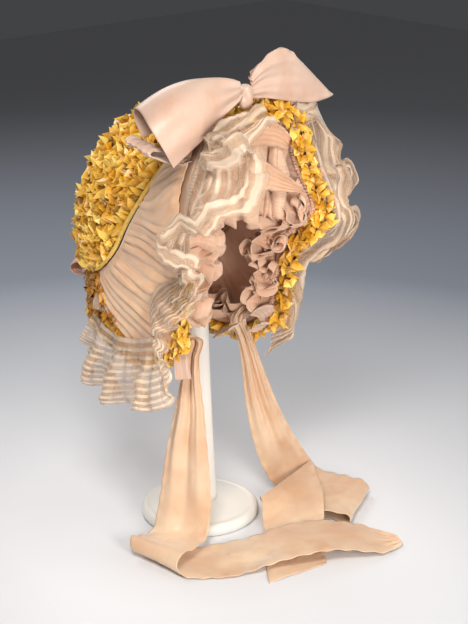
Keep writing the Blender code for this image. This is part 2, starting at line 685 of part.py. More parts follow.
def build_stand():
    base, foot = BASE_DIAMETER / 2, POST_FOOT / 2
    lip = BASE_RIM / 2
    profile = [(0, BASE_HEIGHT), (foot, BASE_HEIGHT)]
    profile.append((base - 1.6 * lip, BASE_RIM + 0.1 * lip))
    for step in range(5):
        angle = math.radians(70 - 35 * step)
        profile.append((base - lip + lip * math.cos(angle), lip + lip * math.sin(angle)))
    profile += [(base - 1.2 * lip, 0), (0, 0)]
    turned("stand_base", profile, TURN_STEPS, STAND)
    pad = PAD_DIAMETER / 2
    profile = [(0, PAD_HEIGHT)]
    for step in range(1, 5):
        angle = math.radians(90 - 22.5 * step)
        profile.append((pad * math.cos(angle), PAD_HEIGHT * (0.35 + 0.65 * math.sin(angle))))
    profile += [(pad * 0.85, 0), (0, 0)]
    head = turned("stand_pad", profile, POST_STEPS, STAND)
    bpy.context.view_layer.update()
    head.location.z = headroom(head) - 1.5 * PIECE_GAP
    low = BASE_HEIGHT + PIECE_GAP
    top = head.location.z - PIECE_GAP
    slim = POST_TOP / 2
    profile = [(0, top), (slim, top), (slim, top * 0.6)]
    profile += [(slim + (foot - slim) * share, low + (top * 0.6 - low) * (1 - share**0.7)) for share in (0.35, 0.7)]
    profile += [(foot, low), (0, low)]
    post = turned("stand_post", profile, POST_STEPS, STAND)
    settled(head, post)


def build_crown():
    rings = crown_rings(CROWN_ROWS)
    crown = wall("crown", rings, CROWN_WALL, STRAW, ring=True)
    sunk = CROWN_WALL / 2 + PIECE_GAP + LINING_WALL / 2
    fewer = raised(rings, -sunk - PIECE_GAP, ring=True)[[0, 2, 4, 6, 8]]
    lining = wall("crown_lining", fewer, LINING_WALL, LINING, ring=True)
    settled(crown, lining)
    high = CROWN_WALL / 2 + EDGE_BRAID / 2 + PIECE_GAP
    places = raised(rings, high, ring=True)[0]
    lowest = 5
    settle(tube("crown_edge_braid", list(places[lowest : 1 - lowest]), EDGE_BRAID / 2, STRAW))


def build_brim():
    grid = brim_surface(0, 0, 0, 0.0, 0.0, 3, ring=True)
    settle(wall("brim", grid, BRIM_WALL, STRAW, ring=True))
    step = LAST / HALF_STEPS
    cover = brim_surface(-15 * step, 15 * step, 30, 0.08, STRAW_MARGIN * 0.5, 3)
    high = BRIM_WALL / 2 + DRAPE_WALL / 2 + CLOTH_EASE
    folds = np.abs(np.sin(np.arange(31) * math.pi / 2)) * DRAPE_FOLD
    heights = high + folds[None, :] * np.array((0.0, 1.0, 1.0, 0.3))[:, None]
    settle(wall("brim_drape", raised(cover, heights), DRAPE_WALL, DRAPE))
    inner = brim_surface(-16 * step, 16 * step, 32, 0.05, STRAW_MARGIN + RUCHING + CLOTH_EASE, 2)
    low = BRIM_WALL / 2 + LINING_WALL / 2 + CLOTH_EASE
    settle(wall("brim_facing", raised(inner, -low), LINING_WALL, CHIFFON))
    places = []
    for station in stations(-16 * step, 16 * step, 32):
        place, normal = brim_frame(station, STRAW_MARGIN + RUCHING / 2)
        places.append(place - normal * (BRIM_WALL / 2 + RUCHING / 2 + CLOTH_EASE))
    settle(tube("brim_ruching", places, RUCHING / 2, CHIFFON))


def outer_root(station, inset):
    """Where the organza is gathered, on the outer side of the brim or of its drape."""
    place, normal = brim_frame(station, inset)
    under = BRIM_WALL / 2
    if inset > STRAW_MARGIN / 2 - SEAM_GAP:
        under += DRAPE_WALL + DRAPE_FOLD + CLOTH_EASE
    return place + normal * (under + SHEER_WALL + CLOTH_EASE), normal


def inner_root(station, inset):
    """Where the face frills are gathered, on the inner side behind the ruching."""
    place, normal = brim_frame(station, inset)
    return place - normal * (BRIM_WALL / 2 + LINING_WALL + SHEER_WALL + 2 * CLOTH_EASE), -normal


def build_frills():
    settle(frill("ruffle_right", RUFFLE_RIGHT_ROWS, RUFFLE_WIDTH, ORGANZA, outer_root, SHEER_WALL, 60))
    settle(frill("ruffle_left", RUFFLE_LEFT_ROWS, RUFFLE_WIDTH, ORGANZA, outer_root, SHEER_WALL, 36))
    for name, rows in (
        ("face_frill_right", FRILL_RIGHT_ROWS),
        ("face_frill_left", FRILL_LEFT_ROWS),
        ("face_frill_top", FRILL_TOP_ROWS),
        ("face_frill_lower", FRILL_LOWER_ROWS),
    ):
        settle(frill(name, rows, FRILL_WIDTH, CHIFFON, inner_root, SHEER_WALL, 3 * (len(rows) - 1), columns=2))


def rolled(name, rows, start, width, finish, steps, columns=6):
    """A rolled ribbon: each row runs from its rim to the knot, arched out in between."""
    rows = np.array(rows, float)
    middle = np.mean([(row[0:3] + row[3:6]) / 2 for row in rows], axis=0)
    grid = []
    for step in range(steps + 1):
        section = smooth(rows, step / steps * (len(rows) - 1))
        rim, knot, arch = section[0:3], section[3:6], section[6]
        away = unit((rim + knot) / 2 - middle)
        line = []
        for column in range(columns + 1):
            share = column / columns
            place = rim + (knot - rim) * share + away * arch * 4 * share * (1 - share)
            line.append(np.array(start) + place * width)
        grid.append(line)
    return wall(name, grid, RIBBON_WALL, finish)


def build_bow():
    bpy.ops.mesh.primitive_uv_sphere_add(segments=12, ring_count=8, radius=BOW_WIDTH * 0.12)
    knot = bpy.context.object
    knot.name = "bow_knot"
    knot.data.name = "bow_knot"
    knot.location = BOW_START
    knot.scale = (0.95, 1.0, 1.45)
    knot.data.shade_smooth()
    settle(keep(knot, SATIN))
    settle(rolled("bow_loop_right", BOW_RIGHT_ROWS, BOW_START, BOW_WIDTH, SATIN, 12))
    settle(ribbon("bow_loop_left", BOW_LEFT_ROWS, BOW_START, BOW_WIDTH, SATIN, 16, columns=4))
    settle(ribbon("bow_under_loop", UNDER_LOOP_ROWS, BOW_START, BOW_WIDTH, SATIN, 10, columns=2))
    settle(ribbon("face_ribbon_fold", FACE_FOLD_ROWS, FACE_FOLD_START, BOW_WIDTH, SATIN, 8, 4, FACE_FOLD_ROOT))
    settle(ribbon("face_ribbon_end", FACE_END_ROWS, FACE_END_START, BOW_WIDTH, SATIN, 10, 4, FACE_END_ROOT))


def build_ties():
    settle(ribbon("short_ribbon_end", SHORT_END_ROWS, SHORT_END_START, BOW_WIDTH, SATIN, 4, columns=2))
    settle(ribbon("nape_loop", NAPE_LOOP_ROWS, NAPE_LOOP_START, BOW_WIDTH, SATIN, 12, columns=2))
    settle(ribbon("nape_ribbon_end", NAPE_END_ROWS, NAPE_END_START, BOW_WIDTH, SATIN, 4, columns=2))
    settle(ribbon("chin_loop", CHIN_LOOP_ROWS, CHIN_LOOP_START, BOW_WIDTH, SATIN, 10, columns=2))
    settle(ribbon("chin_ribbon_end", CHIN_END_ROWS, CHIN_END_START, BOW_WIDTH, SATIN, 4, columns=2))
    settle(ribbon("tie_right", TIE_RIGHT_ROWS, TIE_RIGHT_START, TIE_WIDTH, SATIN, 42, 6, TIE_RIGHT_ROOT))
    settle(ribbon("tie_left", TIE_LEFT_ROWS, TIE_LEFT_START, TIE_WIDTH, SATIN, 46, 6, TIE_LEFT_ROOT))


build_crown()
build_stand()
build_brim()
build_frills()
build_bow()
build_ties()
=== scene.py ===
"""Poke bonnet of folded straw with a chiffon drape, organza ruffle and satin ribbons, on its stand.

The bonnet faces -Y and the wearer's left is +X. Lengths are in metres.
"""

import math

import bpy
import numpy as np
from mathutils import Matrix, Vector, noise


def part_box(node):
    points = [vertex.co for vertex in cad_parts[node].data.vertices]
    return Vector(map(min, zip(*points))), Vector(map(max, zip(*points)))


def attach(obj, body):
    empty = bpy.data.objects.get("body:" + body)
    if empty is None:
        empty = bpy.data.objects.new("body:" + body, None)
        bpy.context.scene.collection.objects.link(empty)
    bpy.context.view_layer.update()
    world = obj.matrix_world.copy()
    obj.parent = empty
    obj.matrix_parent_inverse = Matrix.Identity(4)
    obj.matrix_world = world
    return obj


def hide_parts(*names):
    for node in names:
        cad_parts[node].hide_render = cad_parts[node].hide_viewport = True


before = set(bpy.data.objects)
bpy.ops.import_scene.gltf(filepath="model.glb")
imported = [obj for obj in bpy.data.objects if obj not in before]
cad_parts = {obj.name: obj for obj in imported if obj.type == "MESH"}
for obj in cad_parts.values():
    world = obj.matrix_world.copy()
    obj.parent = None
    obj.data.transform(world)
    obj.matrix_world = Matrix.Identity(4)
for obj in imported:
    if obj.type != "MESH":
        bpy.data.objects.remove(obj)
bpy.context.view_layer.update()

# Sizes that the bonnet shares with its solid model
BONNET_WIDTH = 0.184
BONNET_DEPTH = 0.300
BONNET_HEIGHT = 0.300
BONNET_LEVEL = 0.230
CROWN_WALL = 0.004
CROWN_SWELL = 0.009
TIP_WIDTH = 0.116
TIP_HEIGHT = 0.200
TIP_DOME = 0.009
TIP_LEAN = math.radians(27)
BRIM_WALL = 0.003
BRIM_SWELL = 0.006
STRAW_MARGIN = 0.015
RUCHING = 0.008
SEAM_GAP = 0.0016
LINING_WALL = 0.001
DRAPE_WALL = 0.0015
DRAPE_FOLD = 0.0035
SHEER_WALL = 0.001
RUFFLE_WIDTH = 0.090
FRILL_WIDTH = 0.045
TIE_WIDTH = 0.074
BOW_WIDTH = 0.080
BASE_DIAMETER = 0.152
BASE_RIM = 0.016
BASE_HEIGHT = 0.022
POST_FOOT = 0.044
POST_TOP = 0.024
PAD_DIAMETER = 0.070
PAD_HEIGHT = 0.030
CLOTH_EASE = 0.0015

# Sizes of the scene's own
TURN = 2 * math.pi
CHIFFON_THICKNESS = 0.0006
SATIN_THICKNESS = 0.0005
SHEER_THICKNESS = 0.0004
STRAW_THICKNESS = 0.0005
CROWN_SPACING = 0.0086
BRIM_SPACING = 0.0078
CORD_PITCH = 0.0075
CORD_SWING = 0.0019
STRAND_RADIUS = 0.0012
STRIPE_PITCH = 0.0092
MOST_SHIFT = 0.012
CAMERA_PLACE = (-1.21414, -1.41450, 0.95471)
FOCAL_PIXELS = 1596
PHOTO_HEIGHT = 624
FLOOR_REACH = 3.0

# The bonnet's seam line, where the brim meets the crown, and its free edge, from the top centre (turn 0)
# down one side to the nape (turn 180). Shares of half the width, of the depth and of the height.
# Columns: turn, seam across, back and up, edge across, back and up.
BODY_ROWS = (
    (0, 0, -0.17, 0.97, 0, -0.31, 1.06),
    (27, 0.46, -0.15, 0.94, 0.49, -0.33, 1.06),
    (45, 0.67, -0.12, 0.87, 0.82, -0.33, 0.97),
    (60, 0.85, -0.07, 0.77, 1.07, -0.32, 0.77),
    (72, 0.95, -0.01, 0.67, 1.2, -0.38, 0.58),
    (84, 0.99, 0.05, 0.58, 0.98, -0.27, 0.43),
    (96, 1, 0.11, 0.48, 0.92, -0.23, 0.27),
    (108, 0.97, 0.19, 0.4, 0.87, -0.2, 0.11),
    (126, 0.87, 0.3, 0.33, 0.82, 0.05, -0.01),
    (144, 0.67, 0.43, 0.31, 0.6, 0.36, 0),
    (162, 0.35, 0.54, 0.29, 0.3, 0.58, 0),
    (180, 0, 0.57, 0.29, 0, 0.63, 0),
)
LAST = len(BODY_ROWS) - 1

# The crown from its front edge back to the middle of its tip: share of the way to the tip's rim, swell,
# share of the way in to the tip's middle, and share of the tip's dome.
CROWN_ROWS = (
    (0, 0, 0, 0),
    (0.25, 0.55, 0, 0),
    (0.5, 0.9, 0, 0),
    (0.75, 1, 0, 0),
    (0.93, 0.8, 0, 0),
    (1, 0.35, 0.05, 0.2),
    (1, 0, 0.3, 0.7),
    (1, 0, 0.65, 0.95),
    (1, 0, 1, 1),
)

# Each frill: a row for each fold. The station counts the rows of the body table, from the top centre
# down the wearer's right (minus) or left (plus) side. The root lies in from the brim's free edge, and the
# frill's own free edge stands off its root across, back and up, all in shares of the frill's width.
# Columns: station, inset, across, back, up.
RUFFLE_RIGHT_ROWS = (
    (-0.2, 0.02, 0.12, -0.5, -0.1),
    (-0.5, 0.02, 0.03, -0.48, -0.12),
    (-0.8, 0.02, -0.1, -0.48, -0.22),
    (-1.05, 0.02, -0.28, -0.52, -0.34),
    (-1.3, 0.02, -0.4, -0.52, -0.4),
    (-1.5, 0.02, -0.45, -0.45, -0.48),
    (-1.7, 0.02, -0.36, -0.7, -0.18),
    (-1.9, 0.02, -0.22, -0.94, 0.22),
    (-2.1, 0.02, 0.1, -0.94, 0.22),
    (-2.3, 0.02, 0.3, -0.93, 0.12),
    (-2.5, 0.02, 0.28, -0.95, 0.05),
    (-2.8, 0.02, 0.06, -0.99, 0.08),
    (-3.2, 0.02, -0.26, -0.74, 0.17),
    (-3.5, 0.02, -0.41, -0.17, 0.21),
    (-3.8, 0.02, -0.44, 0.12, 0.28),
    (-4.1, 0.02, -0.43, -0.24, 0.3),
    (-4.4, 0.06, -0.35, -0.57, 0.28),
    (-4.8, 0.16, -0.16, -0.72, 0.08),
    (-5.3, 0.34, -0.05, -0.66, -0.18),
    (-5.8, 0.48, -0.07, -0.54, -0.3),
    (-6.3, 0.52, -0.1, -0.29, -0.37),
    (-6.7, 0.4, -0.15, -0.4, -0.85),
    (-7.1, 0.5, -0.48, -0.25, -0.88),
    (-7.5, 0.56, 0.02, -0.25, -0.88),
    (-7.9, 0.6, -0.48, -0.1, -0.88),
    (-8.2, 0.6, 0, -0.08, -0.86),
    (-8.5, 0.58, -0.4, 0.05, -0.82),
    (-8.8, 0.55, -0.02, 0, -0.65),
    (-9.1, 0.5, -0.2, 0.05, -0.45),
)
RUFFLE_LEFT_ROWS = (
    (0.9, 0.02, 0.2, -0.2, -0.15),
    (1.2, 0.02, 0.35, -0.15, -0.15),
    (1.6, 0.02, 0.45, -0.1, -0.12),
    (2.2, 0.02, 0.58, 0, -0.18),
    (2.8, 0.02, 0.6, -0.1, -0.15),
    (3.2, 0.02, 0.65, -0.1, 0.05),
    (3.6, 0.02, 0.48, 0.05, -0.15),
    (4, 0.02, 0.42, -0.15, -0.05),
    (4.3, 0.02, 0.3, -0.2, -0.2),
    (4.7, 0.02, 0.2, 0.1, -0.25),
    (5.3, 0.02, 0.12, 0.15, -0.25),
    (6, 0.02, 0.06, 0.08, -0.3),
    (6.7, 0.02, 0.14, 0.12, -0.35),
    (7.3, 0.02, 0.06, 0.08, -0.45),
)
FRILL_RIGHT_ROWS = (
    (-3.6, 0.75, 0.85, -0.2, -0.15),
    (-4.1, 0.7, 0.8, -0.45, 0.05),
    (-4.5, 0.65, 1.2, -0.15, 0),
    (-5, 0.65, 0.8, -0.7, -0.1),
    (-5.6, 0.65, 1.2, -0.15, 0.1),
    (-6.2, 0.65, 0.75, -0.6, -0.1),
    (-6.8, 0.65, 1.05, -0.1, 0.05),
)
FRILL_LEFT_ROWS = (
    (3.3, 0.65, -0.8, -0.3, -0.5),
    (3.9, 0.65, -0.7, -0.65, 0),
    (4.5, 0.65, -1.35, -0.1, 0),
    (5, 0.65, -0.75, -0.6, -0.1),
    (5.5, 0.65, -1.15, -0.1, 0.1),
    (6, 0.65, -0.6, -0.6, -0.1),
    (6.5, 0.65, -0.95, 0, 0.1),
    (7, 0.65, -0.5, -0.3, 0.3),
)
FRILL_TOP_ROWS = (
    (-2.6, 0.65, 0.5, -0.2, -1.3),
    (-1.9, 0.65, 0.25, 0.15, -1.9),
    (-1.2, 0.65, 0.1, -0.25, -2.3),
    (-0.5, 0.65, 0, 0.2, -2.4),
    (0.2, 0.65, 0, -0.25, -2.45),
    (0.9, 0.65, -0.1, 0.2, -2.4),
    (1.6, 0.65, -0.15, -0.2, -2.2),
    (2.3, 0.65, -0.3, 0.1, -1.8),
)
FRILL_LOWER_ROWS = (
    (7.5, 0.65, -0.3, -0.3, 0.7),
    (7.9, 0.65, -0.8, -0.1, 0.5),
    (8.3, 0.65, -0.4, -0.5, 0.8),
    (8.7, 0.65, -0.75, -0.3, 0.45),
    (9.1, 0.65, -0.4, -0.6, 0.75),
)

# Ribbons: a row for each section, with its middle (across, back and up from the piece's own start, in
# ribbon widths), the direction of its width, its share of the full width and the depth of its pleats.
# A ribbon's root, when it has one, is sewn to the brim's inner side: its station, its distance in from
# the free edge, its share of the full width and how far it stands off, as a share of the ruching.
TIE_RIGHT_ROOT = (-7.5, 0.034, 0.22, 0.0)
TIE_RIGHT_START = (-0.050, -0.047, 0.268)
TIE_RIGHT_ROWS = (
    (0, 0, 0, 0.55, -0.84, 0, 0.26, 0.05),
    (-0.03, -0.01, -0.34, 0.55, -0.84, 0, 0.24, 0.055),
    (-0.09, -0.03, -0.75, 0.55, -0.84, 0, 0.34, 0.055),
    (-0.12, -0.03, -1.3, 0.55, -0.84, 0, 0.52, 0.05),
    (-0.18, -0.03, -2, 0.55, -0.84, 0, 0.72, 0.04),
    (-0.22, -0.03, -2.75, 0.55, -0.84, 0, 0.88, 0.03),
    (-0.28, -0.02, -3.2, 0.5, -0.86, 0, 0.96, 0.015),
    (-0.42, -0.08, -3.4, 0.42, -0.91, 0, 1, 0.005),
    (-0.75, -0.18, -3.38, 0.3, -0.95, 0, 1.04, 0),
    (-1.06, -0.28, -3.3, 0.2, -0.98, 0, 1.06, 0),
    (-1.2, -0.38, -3.42, 0.12, -0.99, 0, 1.06, 0),
    (-1.1, -0.5, -3.55, 0.02, -1, 0, 1.06, 0),
    (-0.8, -0.7, -3.58, -0.15, -0.99, 0, 1.06, 0),
    (-0.3, -1, -3.58, -0.35, -0.94, 0, 1.08, 0.005),
    (0.3, -1.28, -3.5, -0.44, -0.9, 0, 1.08, 0.005),
    (0.9, -1.58, -3.36, -0.45, -0.89, 0, 1.08, 0),
    (1.5, -1.88, -3.38, -0.45, -0.89, 0, 1.06, 0),
    (2.1, -2.2, -3.54, -0.45, -0.89, 0, 1, 0),
    (2.44, -2.48, -3.57, -0.45, -0.89, 0, 0.3, 0),
)
TIE_LEFT_ROOT = (7.0, 0.036, 0.22, 0.0)
TIE_LEFT_START = (0.050, -0.020, 0.264)
TIE_LEFT_ROWS = (
    (0, 0, 0, 0.8, -0.6, 0, 0.26, 0.05),
    (0.12, -0.03, -0.45, 0.8, -0.6, 0, 0.26, 0.055),
    (0.26, -0.07, -1, 0.85, -0.52, 0, 0.36, 0.055),
    (0.45, -0.1, -1.7, 0.9, -0.43, 0, 0.55, 0.05),
    (0.72, -0.1, -2.4, 0.95, -0.3, 0.05, 0.75, 0.035),
    (1.05, -0.08, -3, 0.97, -0.2, 0.08, 0.92, 0.015),
    (1.28, -0.12, -3.36, 0.97, -0.1, 0.05, 1, 0.005),
    (1.36, -0.35, -3.53, 0.98, 0, 0, 1.04, 0),
    (1.38, -0.8, -3.54, 0.95, 0.2, 0, 1.12, 0),
    (1.4, -1.25, -3.54, 0.9, 0.4, 0, 1.28, 0),
    (1.4, -1.5, -3.52, 0.87, 0.49, 0, 1.38, 0),
    (1.4, -1.62, -3.42, 0.87, 0.49, 0, 1.38, 0),
    (1.38, -1.52, -3.31, 0.87, 0.49, 0, 1.38, 0),
    (1.24, -1.2, -3.31, 0.9, 0.43, 0.02, 1.42, 0),
    (1, -0.75, -3.31, 0.94, 0.33, 0.04, 1.56, 0),
    (0.84, -0.48, -3.28, 0.96, 0.27, 0.04, 1.66, 0),
    (0.78, -0.38, -3.2, 0.96, 0.27, 0.04, 1.68, 0),
    (0.72, -0.48, -3.12, 0.98, 0.2, 0.04, 1.62, 0),
    (0.51, -0.78, -3.14, 1, 0.05, 0.08, 1.4, 0),
    (0.2, -1.19, -3.33, 0.92, -0.32, 0.25, 1.18, 0),
    (-0.23, -1.64, -3.5, 0.86, -0.5, 0.05, 1.04, 0),
    (-0.61, -2.08, -3.55, 0.9, -0.42, 0, 1.04, 0),
    (-0.94, -2.48, -3.55, 0.99, -0.14, 0, 1.15, 0),
)
SHORT_END_START = (-0.079, -0.062, 0.262)
SHORT_END_ROWS = (
    (0, 0, 0, 0.7, -0.7, 0.1, 0.2, 0),
    (-0.02, -0.02, -0.2, 0.7, -0.7, 0.1, 0.22, 0),
    (-0.01, -0.05, -0.45, 0.7, -0.7, 0.15, 0.24, 0),
)
NAPE_LOOP_START = (-0.034, 0.177, 0.306)
NAPE_LOOP_ROWS = (
    (0, 0, 0, 1, 0.15, 0, 0.3, 0),
    (-0.07, 0.19, 0.06, 1, 0.4, 0, 0.32, 0),
    (-0.13, 0.29, 0.03, 1, 0.5, 0, 0.32, 0),
    (-0.16, 0.33, -0.08, 1, 0.5, 0, 0.32, 0),
    (-0.11, 0.28, -0.18, 1, 0.5, 0, 0.32, 0),
    (-0.02, 0.18, -0.18, 1, 0.4, 0, 0.3, 0),
)
NAPE_END_START = (-0.091, 0.086, 0.298)
NAPE_END_ROWS = (
    (0, 0, 0, 0.2, -0.98, 0, 0.16, 0.01),
    (-0.01, 0, -0.12, 0.2, -0.98, 0, 0.22, 0.005),
    (-0.02, 0, -0.26, 0.2, -0.98, 0, 0.26, 0),
)
CHIN_LOOP_START = (0.040, -0.044, 0.270)
CHIN_LOOP_ROWS = (
    (0, 0, 0, 0.55, -0.6, 0.55, 0.2, 0),
    (0.14, -0.06, 0.1, 0.55, -0.6, 0.55, 0.3, 0),
    (0.3, -0.12, 0.06, 0.55, -0.6, 0.55, 0.34, 0),
    (0.36, -0.14, -0.08, 0.55, -0.6, 0.55, 0.34, 0),
    (0.28, -0.1, -0.2, 0.55, -0.6, 0.55, 0.32, 0),
    (0.12, -0.05, -0.18, 0.55, -0.6, 0.55, 0.26, 0),
)
CHIN_END_START = (0.030, -0.034, 0.262)
CHIN_END_ROWS = (
    (0, 0, 0, 0.3, -0.8, 0.5, 0.18, 0),
    (-0.14, 0.02, -0.04, 0.3, -0.8, 0.5, 0.28, 0),
    (-0.3, 0.04, -0.12, 0.3, -0.8, 0.5, 0.34, 0),
)

# The bow on top of the brim. Its right loop is rolled: each row runs from the open rim to the knot.
# The others are ribbons. Places are in bow widths from the knot's middle.
BOW_START = (-0.019, -0.105, 0.577)
# Columns of the right loop: rim x, y and z, knot x, y and z, arch.
BOW_RIGHT_ROWS = (
    (-1.4, -0.08, -0.9, -0.13, -0.07, -0.11, 0.02),
    (-1.56, -0.06, -0.62, -0.14, -0.08, -0.05, 0.1),
    (-1.64, 0.12, -0.34, -0.14, -0.07, 0.04, 0.17),
    (-1.56, 0.42, -0.18, -0.13, -0.02, 0.11, 0.21),
    (-1.48, 0.66, -0.2, -0.13, 0.04, 0.09, 0.19),
    (-1.42, 0.72, -0.38, -0.13, 0.07, 0.02, 0.1),
    (-1.38, 0.6, -0.6, -0.13, 0.07, -0.05, 0.04),
)
BOW_LEFT_ROWS = (
    (0.13, 0, 0, -0.05, 0.05, 1, 0.3, 0.02),
    (0.4, -0.02, 0.09, -0.1, 0.05, 1, 0.58, 0.015),
    (0.74, -0.03, 0.1, -0.2, 0.05, 1, 0.8, 0.01),
    (1.1, -0.02, 0.02, -0.45, 0.05, 0.9, 0.9, 0),
    (1.38, 0.02, -0.01, -0.72, 0.05, 0.7, 1, 0),
    (1.4, 0.1, -0.01, -0.72, 0.05, 0.7, 1, 0),
    (1.12, 0.18, 0, -0.5, 0.05, 0.85, 0.9, 0),
    (0.7, 0.18, 0, -0.2, 0.05, 1, 0.7, 0.01),
    (0.24, 0.14, -0.01, -0.05, 0.05, 1, 0.4, 0.02),
)
UNDER_LOOP_ROWS = (
    (-0.98, 0.24, -0.86, 0.2, -0.9, -0.3, 0.3, 0),
    (-1.33, 0.25, -0.8, 0.2, -0.9, -0.3, 0.5, 0),
    (-1.66, 0.31, -0.68, 0.2, -0.9, -0.3, 0.5, 0),
    (-1.74, 0.33, -0.61, 0.2, -0.9, -0.3, 0.48, 0),
    (-1.64, 0.35, -0.57, 0.2, -0.9, -0.3, 0.46, 0),
    (-1.5, 0.35, -0.6, 0.2, -0.9, -0.3, 0.44, 0),
)

# Ribbons tacked inside the front of the brim, in bow widths from their own start.
FACE_FOLD_ROOT = (-0.2, 0.019, 0.20, 0.9)
FACE_FOLD_START = (0.002, -0.086, 0.514)
FACE_FOLD_ROWS = (
    (0, 0, 0, 0.25, 0.1, -1, 0.3, 0.01),
    (0.26, -0.06, 0, 0.2, 0.1, -1, 0.4, 0),
    (0.52, -0.1, -0.06, 0, 0.15, -1, 0.36, 0),
    (0.74, -0.12, -0.2, -0.3, 0.2, -0.9, 0.22, 0.01),
)
FACE_END_ROOT = (-1.5, 0.019, 0.20, 0.9)
FACE_END_START = (-0.028, -0.100, 0.482)
FACE_END_ROWS = (
    (0, 0, 0, 0.05, 0.1, -1, 0.3, 0.01),
    (0.3, -0.02, -0.06, 0.05, 0.1, -1, 0.44, 0),
    (0.62, -0.05, -0.2, 0.05, 0.1, -1, 0.42, 0),
    (0.96, -0.09, -0.36, 0.05, 0.1, -1, 0.26, 0),
    (1.26, -0.14, -0.5, 0.05, 0.1, -1, 0.06, 0),
)


def point(across, back, up):
    """A place on the bonnet from its shares of half the width, of the depth and of the height."""
    return np.array(
        (across * BONNET_WIDTH / 2, back * BONNET_DEPTH, BONNET_LEVEL + up * BONNET_HEIGHT)
    )


def unit(vector):
    """The vector at length 1, along its last axis."""
    length = np.linalg.norm(vector, axis=-1, keepdims=True)
    return vector / np.maximum(length, 1e-9)


def smooth(rows, place):
    """The values at a place counted in rows, on a smooth curve through every row."""
    rows = np.asarray(rows, float)
    last = len(rows) - 1
    i = int(min(max(math.floor(place), 0), last - 1))
    t = place - i
    before = rows[i - 1] if i > 0 else 2 * rows[0] - rows[1]
    after = rows[i + 2] if i + 2 <= last else 2 * rows[last] - rows[last - 1]
    here, there = rows[i], rows[i + 1]
    return 0.5 * (
        2 * here
        + (there - before) * t
        + (2 * before - 5 * here + 4 * there - after) * t**2
        + (3 * here - before - 3 * there + after) * t**3
    )


def body(station):
    """Seam point, free edge point and turn at a station, minus on the wearer's right."""
    rows = np.array(BODY_ROWS, float)
    flip = np.array((-1, -1, 1, 1, -1, 1, 1))
    beyond = rows[-2] * flip
    beyond[0] = 360 - rows[-2][0]
    rows = np.vstack((rows[1] * flip, rows, beyond))
    turn, *shares = smooth(rows, abs(station) + 1)
    side = -1 if station < 0 else 1
    seam, edge = shares[:3], shares[3:]
    seam[0] *= side
    edge[0] *= side
    return point(*seam), point(*edge), math.radians(turn) * side


def tip_rim(turn):
    """The tip's rim at a turn, and the direction away from the tip's middle."""
    upright = np.array((0, -math.sin(TIP_LEAN), math.cos(TIP_LEAN)))
    away = math.sin(turn) * np.array((1, 0, 0)) + math.cos(turn) * upright
    middle = point(0, 0.45, 0.64)
    aside = math.sin(turn) * np.array((TIP_WIDTH / 2, 0, 0))
    rim = middle + aside + math.cos(turn) * upright * TIP_HEIGHT / 2
    return rim, away, middle


def brim_place(seam, edge, turn, share):
    away = np.array((math.sin(turn), 0, math.cos(turn)))
    return seam + (edge - seam) * share + away * BRIM_SWELL * 4 * share * (1 - share)


def brim_frame(station, inset):
    """A point of the brim at a distance in from its free edge, and the brim's outward normal there."""

    def at(where, distance):
        seam, edge, turn = body(where)
        depth = np.linalg.norm(edge - seam)
        return brim_place(seam, edge, turn, 1 - distance / depth)

    along = at(station + 0.4, inset) - at(station - 0.4, inset)
    outward = at(station, inset - 0.004) - at(station, inset + 0.004)
    normal = unit(np.cross(along, outward))
    seam, _, turn = body(station)
    away = np.array((math.sin(turn), 0, math.cos(turn)))
    if normal @ away < 0:
        normal = -normal
    return at(station, inset), normal


def outer_root(station, inset):
    """Where the organza is gathered, on the outer side of the brim or of its drape."""
    place, normal = brim_frame(station, inset)
    under = BRIM_WALL / 2
    if inset > STRAW_MARGIN / 2 - SEAM_GAP:
        under += DRAPE_WALL + DRAPE_FOLD + CLOTH_EASE
    return place + normal * (under + SHEER_WALL + CLOTH_EASE), normal


def inner_root(station, inset):
    """Where the face frills are gathered, on the inner side behind the ruching."""
    place, normal = brim_frame(station, inset)
    return place - normal * (BRIM_WALL / 2 + LINING_WALL + SHEER_WALL + 2 * CLOTH_EASE), -normal


def sewn(rows, start, width, root):
    """The rows with one more before them, where the ribbon is sewn to the brim's inner side."""
    station, inset, share, off = root
    place, normal = inner_root(station, inset)
    place = place + normal * RUCHING * off
    first = np.array(rows[0], float)
    wide = unit(first[3:6])
    first[:3] = (place - np.array(start)) / width
    first[3:6] = unit(wide - normal * (wide @ normal))
    first[6] = share
    first[7] = 0
    return np.vstack((first, rows))


# Camera


def set_camera():
    """The camera stands 42 degrees to the wearer's right of the front and looks down 20 degrees."""
    turn, rise = math.radians(-42), math.radians(20)
    back = Vector((math.sin(turn) * math.cos(rise), -math.cos(turn) * math.cos(rise), math.sin(rise)))
    right = Vector((math.cos(turn), math.sin(turn), 0))
    up = back.cross(right)
    camera = bpy.data.objects.new("camera", bpy.data.cameras.new("camera"))
    bpy.context.scene.collection.objects.link(camera)
    pose = Matrix((
        (right.x, up.x, back.x),
        (right.y, up.y, back.y),
        (right.z, up.z, back.z),
    )).to_4x4()
    pose.translation = Vector(CAMERA_PLACE)
    camera.matrix_world = pose
    camera.data.sensor_fit = "VERTICAL"
    camera.data.sensor_height = 36
    camera.data.lens = camera.data.sensor_height * FOCAL_PIXELS / PHOTO_HEIGHT
    bpy.context.scene.camera = camera


set_camera()


# Noise and waves


def wander(x, y, z=0.0):
    """Smooth noise from -1 to 1."""
    return noise.noise(Vector((x, y, z)))


def ridge(phase):
    """A soft fold: round on top, sharp in the valley, 0 to 1."""
    return abs(math.sin(phase / 2)) ** 0.8


def ramp(value, low, high):
    """0 below low, 1 above high and smooth between."""
    share = min(max((value - low) / (high - low), 0.0), 1.0)
    return share * share * (3 - 2 * share)


def lengths(places):
    """The distance from the start to each place, or to each row of a grid by the mean of its columns."""
    steps = np.linalg.norm(np.diff(places, axis=0), axis=-1)
    if steps.ndim > 1:
        steps = steps.mean(axis=1)
    return np.concatenate(([0], np.cumsum(steps)))


